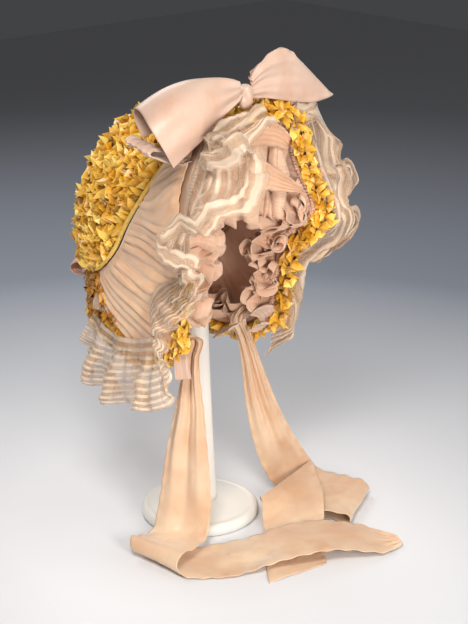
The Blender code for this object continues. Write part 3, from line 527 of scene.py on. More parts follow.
# Meshes


def add_mesh(name, places, faces, finish, smooth=True, uv=None, tone_and_painted_light=None):
    mesh = bpy.data.meshes.new(name)
    mesh.from_pydata([tuple(place) for place in places], [], faces)
    piece = bpy.data.objects.new(name, mesh)
    bpy.context.scene.collection.objects.link(piece)
    mesh.materials.append(finish)
    if smooth:
        mesh.shade_smooth()
    if uv is not None:
        layer = mesh.uv_layers.new(name="UVMap")
        index = np.empty(len(mesh.loops), np.int32)
        mesh.loops.foreach_get("vertex_index", index)
        layer.data.foreach_set("uv", np.asarray(uv, np.float32)[index].ravel())
    if tone_and_painted_light is not None:
        values = mesh.attributes.new("tone_and_painted_light", "FLOAT", "POINT")
        values.data.foreach_set("value", np.asarray(tone_and_painted_light, np.float32))
    return piece


def cloth(name, grid, thickness, finish, ring=False, uv_size=None):
    """A closed thin sheet through a grid of points, with a UV map in metres along and across it."""
    grid = np.asarray(grid, float)
    rows, columns = grid.shape[:2]
    along = lengths(grid)
    across = np.linspace(0, 1, columns)
    width = uv_size or np.linalg.norm(np.diff(grid, axis=1), axis=2).sum(axis=1).max()
    uv = [(a, c * width) for a in along for c in across]
    faces = []
    for row in range(rows if ring else rows - 1):
        after = (row + 1) % rows
        for column in range(columns - 1):
            a, b = row * columns + column, after * columns + column
            faces.append((a, b, b + 1, a + 1))
    piece = add_mesh(name, grid.reshape(-1, 3), faces, finish, uv=uv)
    solid = piece.modifiers.new("Thickness", "SOLIDIFY")
    solid.thickness = thickness
    solid.offset = 0
    return piece


def tube_mesh(name, places, radii, finish, sides):
    """A tube of varying radius along the places, closed at its ends."""
    places = np.asarray(places, float)
    heading = unit(np.gradient(places, axis=0))
    side = unit(np.cross(heading, (0.3, 0.5, 0.81)))
    up = np.cross(heading, side)
    points, faces = [], []
    count = len(places)
    for i in range(count):
        for j in range(sides):
            angle = TURN * j / sides
            radius = radii[i][j] if np.ndim(radii[i]) else radii[i]
            points.append(places[i] + (side[i] * math.cos(angle) + up[i] * math.sin(angle)) * radius)
    for i in range(count - 1):
        for j in range(sides):
            k = (j + 1) % sides
            faces.append((i * sides + j, i * sides + k, (i + 1) * sides + k, (i + 1) * sides + j))
    faces.append(tuple(reversed(range(sides))))
    faces.append(tuple((count - 1) * sides + j for j in range(sides)))
    return add_mesh(name, points, faces, finish)


def turned(name, profile, steps, finish):
    """A turned piece from its profile, given from the top down the outer side."""
    points, faces = [], []
    rings = []
    for radius, level in profile:
        if radius < 1e-6:
            rings.append([len(points)])
            points.append((0, 0, level))
        else:
            rings.append(list(range(len(points), len(points) + steps)))
            for i in range(steps):
                angle = TURN * i / steps
                points.append((radius * math.cos(angle), radius * math.sin(angle), level))
    for upper, lower in zip(rings, rings[1:]):
        for i in range(steps):
            j = (i + 1) % steps
            if len(upper) == 1:
                faces.append((upper[0], lower[i], lower[j]))
            elif len(lower) == 1:
                faces.append((upper[i], lower[0], upper[j]))
            else:
                faces.append((upper[i], lower[i], lower[j], upper[j]))
    return add_mesh(name, points, faces, finish)


def match(piece, node):
    """Moves the piece to the middle of its solid, because the solids were seated on each other."""
    low, high = (np.array(corner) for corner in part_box(node))
    places = np.array([tuple(vertex.co) for vertex in piece.data.vertices])
    shift = (low + high) / 2 - (places.min(axis=0) + places.max(axis=0)) / 2
    length = np.linalg.norm(shift)
    shift *= min(1.0, MOST_SHIFT / max(length, 1e-9))
    places += shift
    piece.data.vertices.foreach_set("co", places.astype(np.float32).ravel())


def own(piece, finish_slot, *nodes):
    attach(piece, "root")
    if nodes:
        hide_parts(*nodes)
    return piece


# Materials


def shader(name):
    """A new material, its tree, its surface and the object's own coordinates."""
    found = bpy.data.materials.new(name)
    found.use_nodes = True
    tree = found.node_tree
    return found, tree, tree.nodes["Principled BSDF"], node(tree, "ShaderNodeTexCoord").outputs["Object"]


def node(tree, kind, links=(), **values):
    """A shader node with its settings, sockets by name and links as (socket name, from socket)."""
    made = tree.nodes.new(kind)
    for key, value in values.items():
        if hasattr(made, key):
            setattr(made, key, value)
        else:
            made.inputs[key.replace("_", " ")].default_value = value
    for key, source in links:
        tree.links.new(source, made.inputs[key])
    return made


def blend(tree, share, first, second):
    """A colour between two colours, each a socket or a plain colour."""
    mix = tree.nodes.new("ShaderNodeMix")
    mix.data_type = "RGBA"
    for index, value in ((6, first), (7, second)):
        if isinstance(value, tuple):
            mix.inputs[index].default_value = (*value, 1)
        else:
            tree.links.new(value, mix.inputs[index])
    if isinstance(share, float):
        mix.inputs[0].default_value = share
    else:
        tree.links.new(share, mix.inputs[0])
    return mix.outputs[2]


def scaled(tree, source, low, high, out_low=0.0, out_high=1.0):
    made = tree.nodes.new("ShaderNodeMapRange")
    tree.links.new(source, made.inputs["Value"])
    for key, value in (("From Min", low), ("From Max", high), ("To Min", out_low), ("To Max", out_high)):
        made.inputs[key].default_value = value
    return made.outputs["Result"]


def speckle(tree, coordinates, scale, detail):
    links = [("Vector", coordinates)]
    made = node(tree, "ShaderNodeTexNoise", links, Scale=scale, Detail=detail, Roughness=0.55)
    return made.outputs["Fac"]


def stretched(tree, coordinates, sizes):
    made = node(tree, "ShaderNodeMapping", [("Vector", coordinates)])
    made.inputs["Scale"].default_value = sizes
    return made.outputs["Vector"]


def bumped(tree, surface, height, strength, distance):
    made = node(tree, "ShaderNodeBump", [("Height", height)], Strength=strength, Distance=distance)
    tree.links.new(made.outputs["Normal"], surface.inputs["Normal"])


def stained(tree, mixed, colour, source, low, high, amount=1.0):
    """The mixed colour with another laid over it where the source is high."""
    return blend(tree, scaled(tree, source, low, high, 0, amount), mixed, colour)


def wire(tree, surface, **values):
    """Sets each named input of the surface to a plain value, or links it to a socket."""
    for key, value in values.items():
        socket = surface.inputs[key.replace("_", " ")]
        if isinstance(value, bpy.types.NodeSocket):
            tree.links.new(value, socket)
        else:
            socket.default_value = value


def straw_finish(name, light, middle, dark, roughness=0.34):
    found, tree, surface, place = shader(name)
    tone_and_painted_light = node(tree, "ShaderNodeAttribute", attribute_name="tone_and_painted_light").outputs["Fac"]
    patches = speckle(tree, place, 160, 2)
    # The tint attribute lays painted shade on the low parts of each fold and a painted highlight on its
    # raised ridge and tip, over the fold's own random tone.
    colour = stained(tree, dark, middle, tone_and_painted_light, 0.0, 0.55)
    colour = stained(tree, colour, light, tone_and_painted_light, 0.55, 1.0)
    colour = stained(tree, colour, light, patches, 0.45, 0.75, 0.45)
    fibres = speckle(tree, stretched(tree, place, (1, 1, 7)), 900, 2)
    colour = stained(tree, colour, dark, fibres, 0.5, 0.8, 0.35)
    wire(tree, surface, Base_Color=colour, Roughness=roughness, Specular_IOR_Level=0.6)
    bumped(tree, surface, fibres, 0.35, 0.0004)
    return found


def satin_finish(name, colour, shade, warm, roughness=0.34, sheen=0.5):
    found, tree, surface, place = shader(name)
    uv = node(tree, "ShaderNodeTexCoord").outputs["UV"]
    clouds = speckle(tree, place, 14, 3)
    mixed = stained(tree, colour, shade, clouds, 0.35, 0.7)
    stains = speckle(tree, stretched(tree, place, (1, 1, 0.4)), 38, 4)
    mixed = stained(tree, mixed, warm, stains, 0.52, 0.75, 0.55)
    threads = speckle(tree, stretched(tree, uv, (260, 3200, 1)), 1.0, 2)
    mixed = stained(tree, mixed, shade, threads, 0.4, 0.7, 0.12)
    rough = scaled(tree, clouds, 0.3, 0.7, roughness - 0.05, roughness + 0.1)
    wire(tree, surface, Base_Color=mixed, Roughness=rough, Anisotropic=0.4)
    wire(tree, surface, Sheen_Weight=sheen, Sheen_Roughness=0.4)
    wrinkles = speckle(tree, stretched(tree, place, (1, 1, 0.5)), 60, 5)
    both = node(tree, "ShaderNodeMath", operation="ADD")
    tree.links.new(scaled(tree, wrinkles, 0, 1, 0, 1.0), both.inputs[0])
    tree.links.new(scaled(tree, threads, 0, 1, 0, 0.12), both.inputs[1])
    bumped(tree, surface, both.outputs[0], 0.38, 0.0014)
    return found


def sheer_finish(name, colour, shade, opacity, stripes=0.0, stripe_colour=None, roughness=0.5):
    """Sheer cloth: light passes between the threads, less where satin stripes run along it."""
    found, tree, surface, place = shader(name)
    uv = node(tree, "ShaderNodeTexCoord").outputs["UV"]
    clouds = speckle(tree, place, 22, 3)
    mixed = stained(tree, colour, shade, clouds, 0.35, 0.7)
    threads = speckle(tree, stretched(tree, uv, (9, 900, 1)), 1.0, 2)
    mixed = stained(tree, mixed, shade, threads, 0.40, 0.65, 0.25)
    cover = scaled(tree, threads, 0.35, 0.65, opacity + 0.08, opacity - 0.08)
    rough = roughness
    if stripes:
        parts = node(tree, "ShaderNodeSeparateXYZ", [("Vector", uv)])
        turns = node(tree, "ShaderNodeMath", [(0, parts.outputs["Y"])], operation="MULTIPLY")
        turns.inputs[1].default_value = TURN / stripes
        wave = node(tree, "ShaderNodeMath", [(0, turns.outputs[0])], operation="SINE")
        band = scaled(tree, wave.outputs[0], -0.25, 0.75)
        mixed = blend(tree, band, mixed, stripe_colour)
        links = [(0, band), (2, cover)]
        joined = node(tree, "ShaderNodeMath", links, operation="MULTIPLY_ADD", use_clamp=True)
        joined.inputs[1].default_value = 0.24
        cover = joined.outputs[0]
        rough = scaled(tree, band, 0, 1, roughness, 0.30)
    wire(tree, surface, Base_Color=mixed, Alpha=cover, Roughness=rough)
    wire(tree, surface, Sheen_Weight=0.6, Sheen_Roughness=0.4, Specular_IOR_Level=0.4)
    bumped(tree, surface, speckle(tree, place, 240, 4), 0.25, 0.0008)
    return found


def cloth_finish(name, colour, shade, warm, roughness, scale):
    found, tree, surface, place = shader(name)
    clouds = speckle(tree, place, scale, 4)
    mixed = stained(tree, colour, shade, clouds, 0.35, 0.7)
    stains = speckle(tree, place, scale * 3, 4)
    mixed = stained(tree, mixed, warm, stains, 0.5, 0.8, 0.6)
    weave = speckle(tree, place, 1500, 1)
    mixed = stained(tree, mixed, shade, weave, 0.35, 0.75, 0.25)
    wire(tree, surface, Base_Color=mixed, Roughness=roughness, Sheen_Weight=0.5, Sheen_Roughness=0.5)
    bumped(tree, surface, weave, 0.3, 0.0003)
    return found


def enamel_finish():
    found, tree, surface, place = shader("stand_enamel")
    clouds = speckle(tree, place, 9, 4)
    mixed = stained(tree, (0.86, 0.84, 0.79), (0.80, 0.78, 0.72), clouds, 0.35, 0.7)
    marks = speckle(tree, place, 70, 6)
    mixed = stained(tree, mixed, (0.66, 0.63, 0.56), marks, 0.62, 0.8, 0.35)
    wire(tree, surface, Base_Color=mixed, Roughness=scaled(tree, marks, 0.3, 0.7, 0.42, 0.6))
    bumped(tree, surface, speckle(tree, place, 320, 3), 0.12, 0.0005)
    return found


STRAW = straw_finish("straw", (1.0, 0.70, 0.14), (0.82, 0.38, 0.015), (0.13, 0.032, 0.001), 0.26)
# The amber straw is the plain straw darkened: painted shade for the curtain at the nape.
STRAW_SHADED = straw_finish("straw_amber_shaded", (0.74, 0.36, 0.03), (0.48, 0.19, 0.010), (0.14, 0.045, 0.003), 0.36)
# The straw of the shell under the folded points is darker: painted shade in the gaps between them.
STRAW_UNDER_SHADED = straw_finish("straw_under_shaded", (0.46, 0.20, 0.02), (0.36, 0.14, 0.01), (0.20, 0.07, 0.005), 0.6)
STRAW_EDGE = straw_finish("straw_edge", (1.0, 0.70, 0.18), (0.80, 0.42, 0.04), (0.36, 0.14, 0.01))
SATIN = satin_finish("peach_satin", (0.66, 0.48, 0.38), (0.60, 0.38, 0.28), (0.57, 0.32, 0.21))
# The face pieces' satin is a deeper orange copy of the bow's: painted shade for their place inside the brim.
FACE_SATIN_SHADED = satin_finish("face_satin_shaded", (0.76, 0.48, 0.32), (0.66, 0.37, 0.22), (0.58, 0.29, 0.15), 0.3)
TIE_SATIN = satin_finish("tie_satin", (0.80, 0.60, 0.42), (0.66, 0.40, 0.24), (0.62, 0.32, 0.17), 0.38, 0.4)
NAPE_SATIN = satin_finish("nape_satin", (0.80, 0.54, 0.44), (0.68, 0.40, 0.31), (0.58, 0.31, 0.23), 0.35)
# The drape's colours are lighter than the chiffon's own: painted light that makes up for the shade it lies
# in.
DRAPE = cloth_finish(
    "dusty_pink_chiffon", (0.94, 0.63, 0.40), (0.84, 0.49, 0.28), (0.72, 0.38, 0.20), 0.5, 18
)
BRIM_CLOTH = cloth_finish("brim_cloth", (0.58, 0.38, 0.25), (0.46, 0.28, 0.17), (0.38, 0.20, 0.10), 0.7, 18)
# The lining's colours are lighter than its own: painted light that makes up for the shade inside the crown.
LINING = cloth_finish(
    "faded_pink_lining", (0.96, 0.66, 0.47), (0.88, 0.56, 0.38), (0.74, 0.43, 0.28), 0.85, 12
)
FACING = cloth_finish("facing_chiffon", (0.88, 0.58, 0.42), (0.78, 0.47, 0.33), (0.66, 0.38, 0.25), 0.8, 20)
RUCHE = cloth_finish("ruching_chiffon", (0.86, 0.57, 0.41), (0.76, 0.45, 0.30), (0.64, 0.34, 0.22), 0.75, 60)
FRILL = sheer_finish("pink_chiffon", (0.86, 0.59, 0.42), (0.76, 0.47, 0.32), 0.86, roughness=0.5)
# The organza's colours are browner than the ivory cloth's own: painted shade for the shadowed folds seen
# through it.
ORGANZA = sheer_finish(
    "ivory_organza", (0.72, 0.52, 0.36), (0.54, 0.36, 0.23), 0.34, STRIPE_PITCH, (0.84, 0.68, 0.52), 0.42
)
ENAMEL = enamel_finish()


# Straw


def crown_place(station, row):
    """A point of the crown's middle surface at a station and a place counted in rows of its table."""
    along, swell, inward, dome = smooth(CROWN_ROWS, row)
    backward = np.array((0, math.cos(TIP_LEAN), math.sin(TIP_LEAN)))
    seam, _, turn = body(station)
    rim, away, middle = tip_rim(turn)
    start = seam + unit(rim - seam) * SEAM_GAP
    place = start + (rim - start) * along + away * swell * CROWN_SWELL
    return place + (middle - place) * inward + backward * dome * TIP_DOME


def crown_grid(rows, columns, lift):
    grid = []
    for i in range(rows + 1):
        level = (len(CROWN_ROWS) - 1) * i / rows
        grid.append([crown_place(-LAST + 2 * LAST * j / columns, level) for j in range(columns)])
    grid = np.array(grid)
    along = np.roll(grid, -1, axis=1) - np.roll(grid, 1, axis=1)
    normal = unit(np.cross(along, np.gradient(grid, axis=0)))
    normal[-1] = unit(normal[-2].mean(axis=0))
    centre = point(0, 0.2, 0.5)
    if np.einsum("ijk,ijk->", normal, grid - centre) < 0:
        normal = -normal
    return grid + normal * lift, normal


def surface_of(grid, normal, wrap):
    """A function from (row, column) shares to a place and a normal on the grid."""
    rows, columns = grid.shape[:2]

    def at(v, u):
        y = min(max(v, 0), 0.9999) * (rows - 1)
        x = (u % 1.0) * columns if wrap else min(max(u, 0), 0.9999) * (columns - 1)
        i, j = int(y), int(x) % columns
        k = (j + 1) % columns if wrap else j + 1
        a, b = y - i, x - int(x)

        def between(field):
            near = field[i, j] * (1 - b) + field[i, k] * b
            far = field[i + 1, j] * (1 - b) + field[i + 1, k] * b
            return near * (1 - a) + far * a

        return between(grid), unit(between(normal))

    return at


# Folded points of straw, in shares of their size. The first is a point with a raised ridge and a lifted
# tip, the second a flat straw folded over twice into a crossed square.
POINT_PLACES = (
    (-0.50, -0.42, 0.00), (0.00, -0.50, 0.28), (0.50, -0.42, 0.00),
    (-0.48, 0.02, 0.22), (0.00, 0.00, 0.62), (0.48, 0.02, 0.22),
    (-0.16, 0.40, 0.42), (0.02, 0.66, 0.78), (0.20, 0.38, 0.42),
)
POINT_FACES = ((0, 1, 4, 3), (1, 2, 5, 4), (3, 4, 7, 6), (4, 5, 8, 7))
CROSS_PLACES = (
    (-0.46, -0.46, 0.30), (0.00, -0.40, 0.05), (0.46, -0.46, 0.48),
    (-0.40, 0.00, 0.10), (0.03, 0.02, 0.66), (0.40, 0.00, 0.16),
    (-0.44, 0.46, 0.52), (0.00, 0.38, 0.08), (0.48, 0.50, 0.34),
)
CROSS_FACES = ((0, 1, 4), (0, 4, 3), (1, 2, 4), (2, 5, 4), (3, 4, 6), (4, 7, 6), (4, 5, 8), (4, 8, 7))


class Petals:
    """Gathers folded straw points and makes one mesh of them."""

    def __init__(self, seed):
        self.draw = np.random.default_rng(seed)
        self.places, self.faces, self.tones_and_painted_light = [], [], []

    def add(self, place, normal, ahead, size, deep=0.0):
        draw = self.draw
        ahead = unit(ahead - normal * (ahead @ normal))
        side = np.cross(normal, ahead)
        turn = draw.normal(0, 0.55)
        cos, sin = math.cos(turn), math.sin(turn)
        ahead, side = ahead * cos + side * sin, side * cos - ahead * sin
        tilt = draw.normal(0, 0.30)
        up = unit(normal + side * tilt + ahead * draw.normal(-0.1, 0.28))
        size = size * draw.uniform(0.85, 1.2)
        high = draw.uniform(0.9, 1.5)
        first = len(self.places)
        skew = draw.normal(0, 0.10)
        tone = min(max(draw.normal(0.66 - deep, 0.24), 0.1), 1.1)
        kind = draw.random() < 0.45
        for x, y, z in CROSS_PLACES if kind else POINT_PLACES:
            wobble = draw.normal(0, 0.05, 3)
            x, y, z = x + skew * y + wobble[0], y + wobble[1], z * high + wobble[2]
            self.places.append(place + side * x * size + ahead * y * size + up * z * size)
            # The tint is the point's random tone times painted light: its low parts darker as painted shade
            # in the crevices, its raised ridge and tip lighter as a painted highlight.
            self.tones_and_painted_light.append(tone * (0.06 + 1.65 * min(max(z, 0), 0.75)))
        self.faces += [tuple(first + i for i in face) for face in (CROSS_FACES if kind else POINT_FACES)]

    def make(self, name, finish):
        piece = add_mesh(name, self.places, self.faces, finish, smooth=False, tone_and_painted_light=self.tones_and_painted_light)
        solid = piece.modifiers.new("Thickness", "SOLIDIFY")
        solid.thickness = STRAW_THICKNESS
        return piece


def build_crown():
    grid, normal = crown_grid(64, 160, 0.0)
    base = grid + normal * (CROWN_WALL * 0.3)
    shell = cloth("crown_shell", base.transpose(1, 0, 2), CROWN_WALL * 0.6, STRAW_UNDER_SHADED, ring=True)
    own(shell, "straw", "crown")
    at = surface_of(grid, normal, True)
    petals = Petals(11)
    reach = lengths(grid)
    count = int(reach[-1] / CROWN_SPACING)
    for line in range(count + 1):
        distance = 0.0095 + line * CROWN_SPACING
        v = np.interp(distance, reach, np.linspace(0, 1, len(reach)))
        if v > 0.995:
            break
        ring = np.array([at(v, k / 80)[0] for k in range(80)])
        around = np.linalg.norm(np.roll(ring, -1, axis=0) - ring, axis=1).sum()
        number = max(3, int(around / CROWN_SPACING))
        for k in range(number):
            u = (k + 0.5 * (line % 2)) / number
            place, out = at(v, u)
            there, _ = at(v, u + 0.004)
            along = unit(there - place)
            down = np.cross(out, along)
            # The braid is folded to one side and then to the other, so neighbours cross.
            lean = 1 if (k + line) % 2 else -1
            ahead = along * 0.75 * lean + down * 0.7
            petals.add(place + out * (CROWN_WALL * 0.45), out, ahead, 0.0138)
    own(petals.make("crown_folds", STRAW), "straw")


def build_crown_edge():
    grid, normal = crown_grid(64, 160, CROWN_WALL / 2 + 0.0042)
    at = surface_of(grid, normal, True)
    places, outs = [], []
    steps = 900
    for i in range(steps + 1):
        place, out = at(0.006, 0.13 + 0.74 * i / steps)
        places.append(place)
        outs.append(out)
    places, outs = np.array(places), np.array(outs)
    heading = unit(np.gradient(places, axis=0))
    across = np.cross(heading, outs)
    length = lengths(places)
    strands = []
    for strand in range(3):
        phase = length * TURN / CORD_PITCH + strand * TURN / 3
        swing = across * (CORD_SWING * np.sin(phase))[:, None]
        line = (places + swing + outs * (CORD_SWING * np.cos(phase))[:, None])[::2]
        strands.append(tube_mesh("crown_edge_strand", line, [STRAND_RADIUS] * len(line), STRAW_EDGE, 6))
    bpy.ops.object.select_all(action="DESELECT")
    for other in strands:
        other.select_set(True)
    bpy.context.view_layer.objects.active = strands[0]
    bpy.ops.object.join()
    strands[0].name = "crown_edge_cord"
    tone_and_painted_light = strands[0].data.attributes.new("tone_and_painted_light", "FLOAT", "POINT")
    tone_and_painted_light.data.foreach_set("value", [0.95] * len(strands[0].data.vertices))
    strands[0].select_set(False)
    own(strands[0], "straw", "crown_edge_braid")


def brim_grid(first, last, steps, near, far_inset, rows, ring=False):
    places = np.linspace(first, last, steps + 1)
    if ring:
        places = places[:-1]
    grid = []
    for station in places:
        seam, edge, turn = body(station)
        depth = np.linalg.norm(edge - seam)
        low = max(near, SEAM_GAP / depth)
        span = 1 - far_inset / depth - low
        grid.append([brim_place(seam, edge, turn, low + span * row / rows) for row in range(rows + 1)])
    grid = np.array(grid)
    if ring:
        along = np.roll(grid, -1, axis=0) - np.roll(grid, 1, axis=0)
    else:
        along = np.gradient(grid, axis=0)
    normal = unit(np.cross(along, np.gradient(grid, axis=1)))
    centre = point(0, 0.1, 0.5)
    if np.einsum("ijk,ijk->", normal, grid - centre) < 0:
        normal = -normal
    return grid, normal


def straw_line(station, side):
    """The seam, the edge, directions toward and along it, and the step in station to the next fold."""
    seam, edge, _ = body(station * side)
    after = body(min(station + 0.05, LAST) * side)[1]
    step = np.linalg.norm(after - edge) / 0.05
    return seam, edge, unit(edge - seam), unit(after - edge), BRIM_SPACING / max(step, 1e-4)


def build_brim():
    grid, _ = brim_grid(-LAST, LAST, 220, 0.0, 0.0, 24, ring=True)
    shell = cloth("brim_shell", grid, BRIM_WALL, BRIM_CLOTH, ring=True)
    own(shell, "straw", "brim")
    petals = Petals(23)
    deep = Petals(29)
    lift = BRIM_WALL * 0.4
    for side in (-1, 1):
        station = 0.1
        row = 0
        while station < LAST:
            seam, edge, toward, along, step = straw_line(station, side)
            # The ruffle hides the margin beside the wearer's right cheek, where the straw lies bare.
            for lane in range(0 if side < 0 and 1.2 < station < 5.1 else 2):
                place, out = brim_frame(station * side, 0.0035 + lane * 0.0068)
                lean = 1 if (row + lane) % 2 else -1
                ahead = toward * (1.0 if lane == 0 else 0.6) + along * lean * 0.7
                if lane < (2 if station < 4.6 else 1):
                    petals.add(place - out * lift, -out, ahead, 0.0140)
                petals.add(place + out * lift, out, ahead, 0.0120, 0.1)
                if lane == 0:
                    petals.add(edge - toward * 0.001, toward, along * lean + out * 0.5, 0.0130)
            row += 1
            station += step
        # The curtain at the nape is all straw, in a deeper amber that is painted shade, since the curtain
        # lies in shadow.
        station = 8.0
        row = 0
        while station <= LAST:
            seam, edge, toward, along, step = straw_line(station, side)
            for lane in range(2, int(np.linalg.norm(edge - seam) / BRIM_SPACING)):
                place, out = brim_frame(station * side, lane * BRIM_SPACING)
                lean = 1 if (row + lane) % 2 else -1
                deep.add(place + out * lift, out, toward * 0.7 + along * lean * 0.7, 0.0118)
            row += 1
            station += step
    # The two ends of the brim meet at the nape, and the straw runs on between them.
    ends = [brim_frame(side * LAST, 0.0) + body(side * LAST)[:2] for side in (-1, 1)]
    (edge_a, out_a, seam_a, _), (edge_b, out_b, seam_b, _) = ends
    across = int(np.linalg.norm(edge_b - edge_a) / BRIM_SPACING) + 1
    depth = int(np.linalg.norm(edge_a - seam_a) / BRIM_SPACING)
    for k in range(across + 1):
        share = k / across
        edge, seam = edge_a + (edge_b - edge_a) * share, seam_a + (seam_b - seam_a) * share
        out = unit(out_a + (out_b - out_a) * share)
        toward, along = unit(edge - seam), unit(edge_b - edge_a)
        for lane in range(depth + 1):
            place = edge - toward * lane * BRIM_SPACING
            lean = 1 if (k + lane) % 2 else -1
            ahead = toward * 0.7 + along * lean * 0.7
            (petals if lane < 2 else deep).add(place + out * lift, out, ahead, 0.0122)
            if lane == 0:
                petals.add(edge - toward * 0.001, toward, along * lean + out * 0.5, 0.0130)
    own(petals.make("brim_margin_folds", STRAW), "straw")
    own(deep.make("curtain_folds", STRAW_SHADED), "straw")


# Drape, facing and lining


def build_drape():
    step = LAST / 20
    grid, normal = brim_grid(-15 * step, 15 * step, 620, 0.0, STRAW_MARGIN * 0.4, 40)
    rows, columns = grid.shape[:2]
    edge = grid[:, columns // 2]
    reach = lengths(edge)
    reach -= reach[rows // 2]
    high = np.zeros((rows, columns))
    for i in range(rows):
        for j in range(columns):
            t = j / (columns - 1)
            s = reach[i]
            # The folds leave the crown square to its edge, and so climb the brim as they run out.
            lean = -0.050 * max(-1, min(1, s / 0.12)) * t + 0.007 * wander(s * 16, t * 2.0, 3)
            where = s - lean
            turn = TURN * (where / 0.0150 + 0.9 * wander(where * 22, t * 1.8, 7))
            wave = 0.6 * ridge(turn) + 0.2 * (1 + math.sin(turn))
            fine = ridge(TURN * (where / 0.0058 + 1.1 * wander(where * 40, t * 2.8, 11)))
            strong = 0.60 + 0.60 * wander(where * 42, t * 2.2, 5)
            ends = ramp(t, 0.0, 0.10) * (1 - 0.5 * ramp(t, 0.85, 1.0))
            puff = 0.0022 * wander(s * 20, t * 2.4, 9) + 0.0012
            high[i, j] = (0.0062 * wave * strong + 0.0009 * fine * (1 - wave * 0.5) + puff) * ends
    lift = BRIM_WALL / 2 + DRAPE_WALL + CLOTH_EASE * 0.6
    out = grid + normal * (lift + high)[..., None]
    own(cloth("drape_pleats", out, CHIFFON_THICKNESS, DRAPE), "dusty_pink_chiffon", "brim_drape")


def build_facing():
    step = LAST / 20
    grid, normal = brim_grid(-16 * step, 16 * step, 420, 0.03, STRAW_MARGIN + RUCHING, 24)
    rows, columns = grid.shape[:2]
    high = np.zeros((rows, columns))
    for i in range(rows):
        for j in range(columns):
            t = j / (columns - 1)
            s = i / rows * 0.75
            wave = ridge(TURN * (s / 0.0085 + 0.7 * wander(s * 40, t * 2.0, 21)))
            high[i, j] = 0.0016 * wave * (0.4 + 0.6 * t) + 0.001 * wander(s * 20, t * 3, 2)
    out = grid - normal * (BRIM_WALL / 2 + LINING_WALL + CLOTH_EASE + high)[..., None]
    own(cloth("facing_gathers", out, CHIFFON_THICKNESS, FACING), "pink_chiffon", "brim_facing")


def build_lining():
    grid, normal = crown_grid(44, 150, -(CROWN_WALL / 2 + 0.0012))
    rows, columns = grid.shape[:2]
    for i in range(rows):
        for j in range(columns):
            pucker = 0.0016 * ridge(TURN * (j / columns * 26 + 0.5 * wander(j * 0.2, i * 0.06, 4)))
            fade = 1 - ramp(i / rows, 0.75, 1.0)
            grid[i, j] -= normal[i, j] * pucker * fade
    lining = cloth("lining_panels", grid.transpose(1, 0, 2), CHIFFON_THICKNESS, LINING, ring=True)
    own(lining, "faded_pink_lining", "crown_lining")


def build_ruching():
    """A roll of gathered chiffon: small uneven puffs that bulge over the line of stitches."""
    step = LAST / 20
    count = 1500
    places = []
    for station in np.linspace(-16 * step, 16 * step, count):
        place, normal = brim_frame(station, STRAW_MARGIN + RUCHING / 2)
        places.append(place - normal * (BRIM_WALL / 2 + RUCHING * 0.42))
    places = np.array(places)
    length = lengths(places)
    radii = []
    for i in range(count):
        s = length[i]
        around = []
        for j in range(16):
            angle = TURN * j / 16
            bends = s / 0.0042 + 0.5 * wander(s * 90, angle, 3) + 0.12 * math.sin(2 * angle)
            frill_edge = ridge(TURN * bends)
            lump = 1 + 0.25 * wander(s * 120, math.cos(angle) * 1.5, math.sin(angle) * 1.5)
            around.append(RUCHING / 2 * (0.62 + 0.55 * frill_edge) * lump)
        radii.append(around)
    own(tube_mesh("ruching_puffs", places, radii, RUCHE, 16), "pink_chiffon", "brim_ruching")


# Ruffle and frills


def frill_grid(rows, width, root, steps, columns, belly, extra):
    """A gathered strip. extra gives offsets to its side, out, forward and along, at a length and a share."""
    rows = np.array(rows, float)
    roots, offs, outs, fronts = [], [], [], []
    for step in range(steps + 1):
        station, inset, across, back, up = smooth(rows, step / steps * (len(rows) - 1))
        start, normal = root(station, inset * width)
        roots.append(start)
        outs.append(normal)
        offs.append(np.array((across, back, up)) * width)
        seam, rim, _ = body(station)
        fronts.append(unit(rim - seam))
    roots, offs, outs = np.array(roots), np.array(offs), np.array(outs)
    edge = roots + offs
    heading = unit(np.gradient(edge, axis=0))
    face = unit(np.cross(heading, offs))
    length = lengths(edge)
    grid = []
    for i in range(steps + 1):
        line = []
        for column in range(columns + 1):
            share = column / columns
            bend = outs[i] * belly * width * math.sin(math.pi * share)
            side, curl, lap, along = extra(length[i], share)
            moved = face[i] * side + outs[i] * curl + fronts[i] * lap + heading[i] * along
            line.append(roots[i] + offs[i] * share + bend + moved)
        grid.append(line)
    return np.array(grid)


def organza_waves(phase, folded):
    """The ruffle lies in folds along its length up to the length folded, then stands in deep flutes."""
    def extra(s, share):
        grow = share ** 1.2
        lower = ramp(s, folded - 0.02, folded + 0.06)
        bends = 2.3 * share + 0.55 * wander(s * 8, phase) + 0.25 * wander(s * 22, share * 2, phase)
        pleats = 0.0086 * math.sin(TURN * bends + 6 * s) * (1 - 0.75 * lower)
        small = 6.5 * share + 0.8 * wander(s * 14, share * 3, phase + 2)
        pleats += 0.0026 * math.sin(TURN * small) * (1 - 0.6 * lower)
        pleats *= ramp(share, 0.0, 0.22)
        turn = TURN * s / 0.036 + 1.2 * wander(s * 15, phase) + phase
        wave = 0.0052 * math.sin(turn) * lower
        along = -0.0030 * math.sin(2 * turn) * lower * share
        slow = 0.0070 * math.sin(TURN * s / 0.070 + 2.0 * wander(s * 14, phase)) * (1 - lower)
        fine = 0.0012 * math.sin(TURN * s / 0.0170 + 2.5 * wander(s * 35, phase + 3))
        ripple = 0.0006 * wander(s * 90, share * 6, phase)
        gather = 0.0008 * math.sin(TURN * s / 0.006) * (1 - ramp(share, 0.0, 0.14))
        roll = -0.007 * ramp(share, 0.84, 1.0) * (1 + wander(s * 30, phase + 8))
        lap = 0.010 * math.sin(math.pi * share ** 0.55) * (1 - 0.6 * lower)
        return (wave + slow + fine) * grow + pleats + ripple + gather, roll, lap, along
    return extra


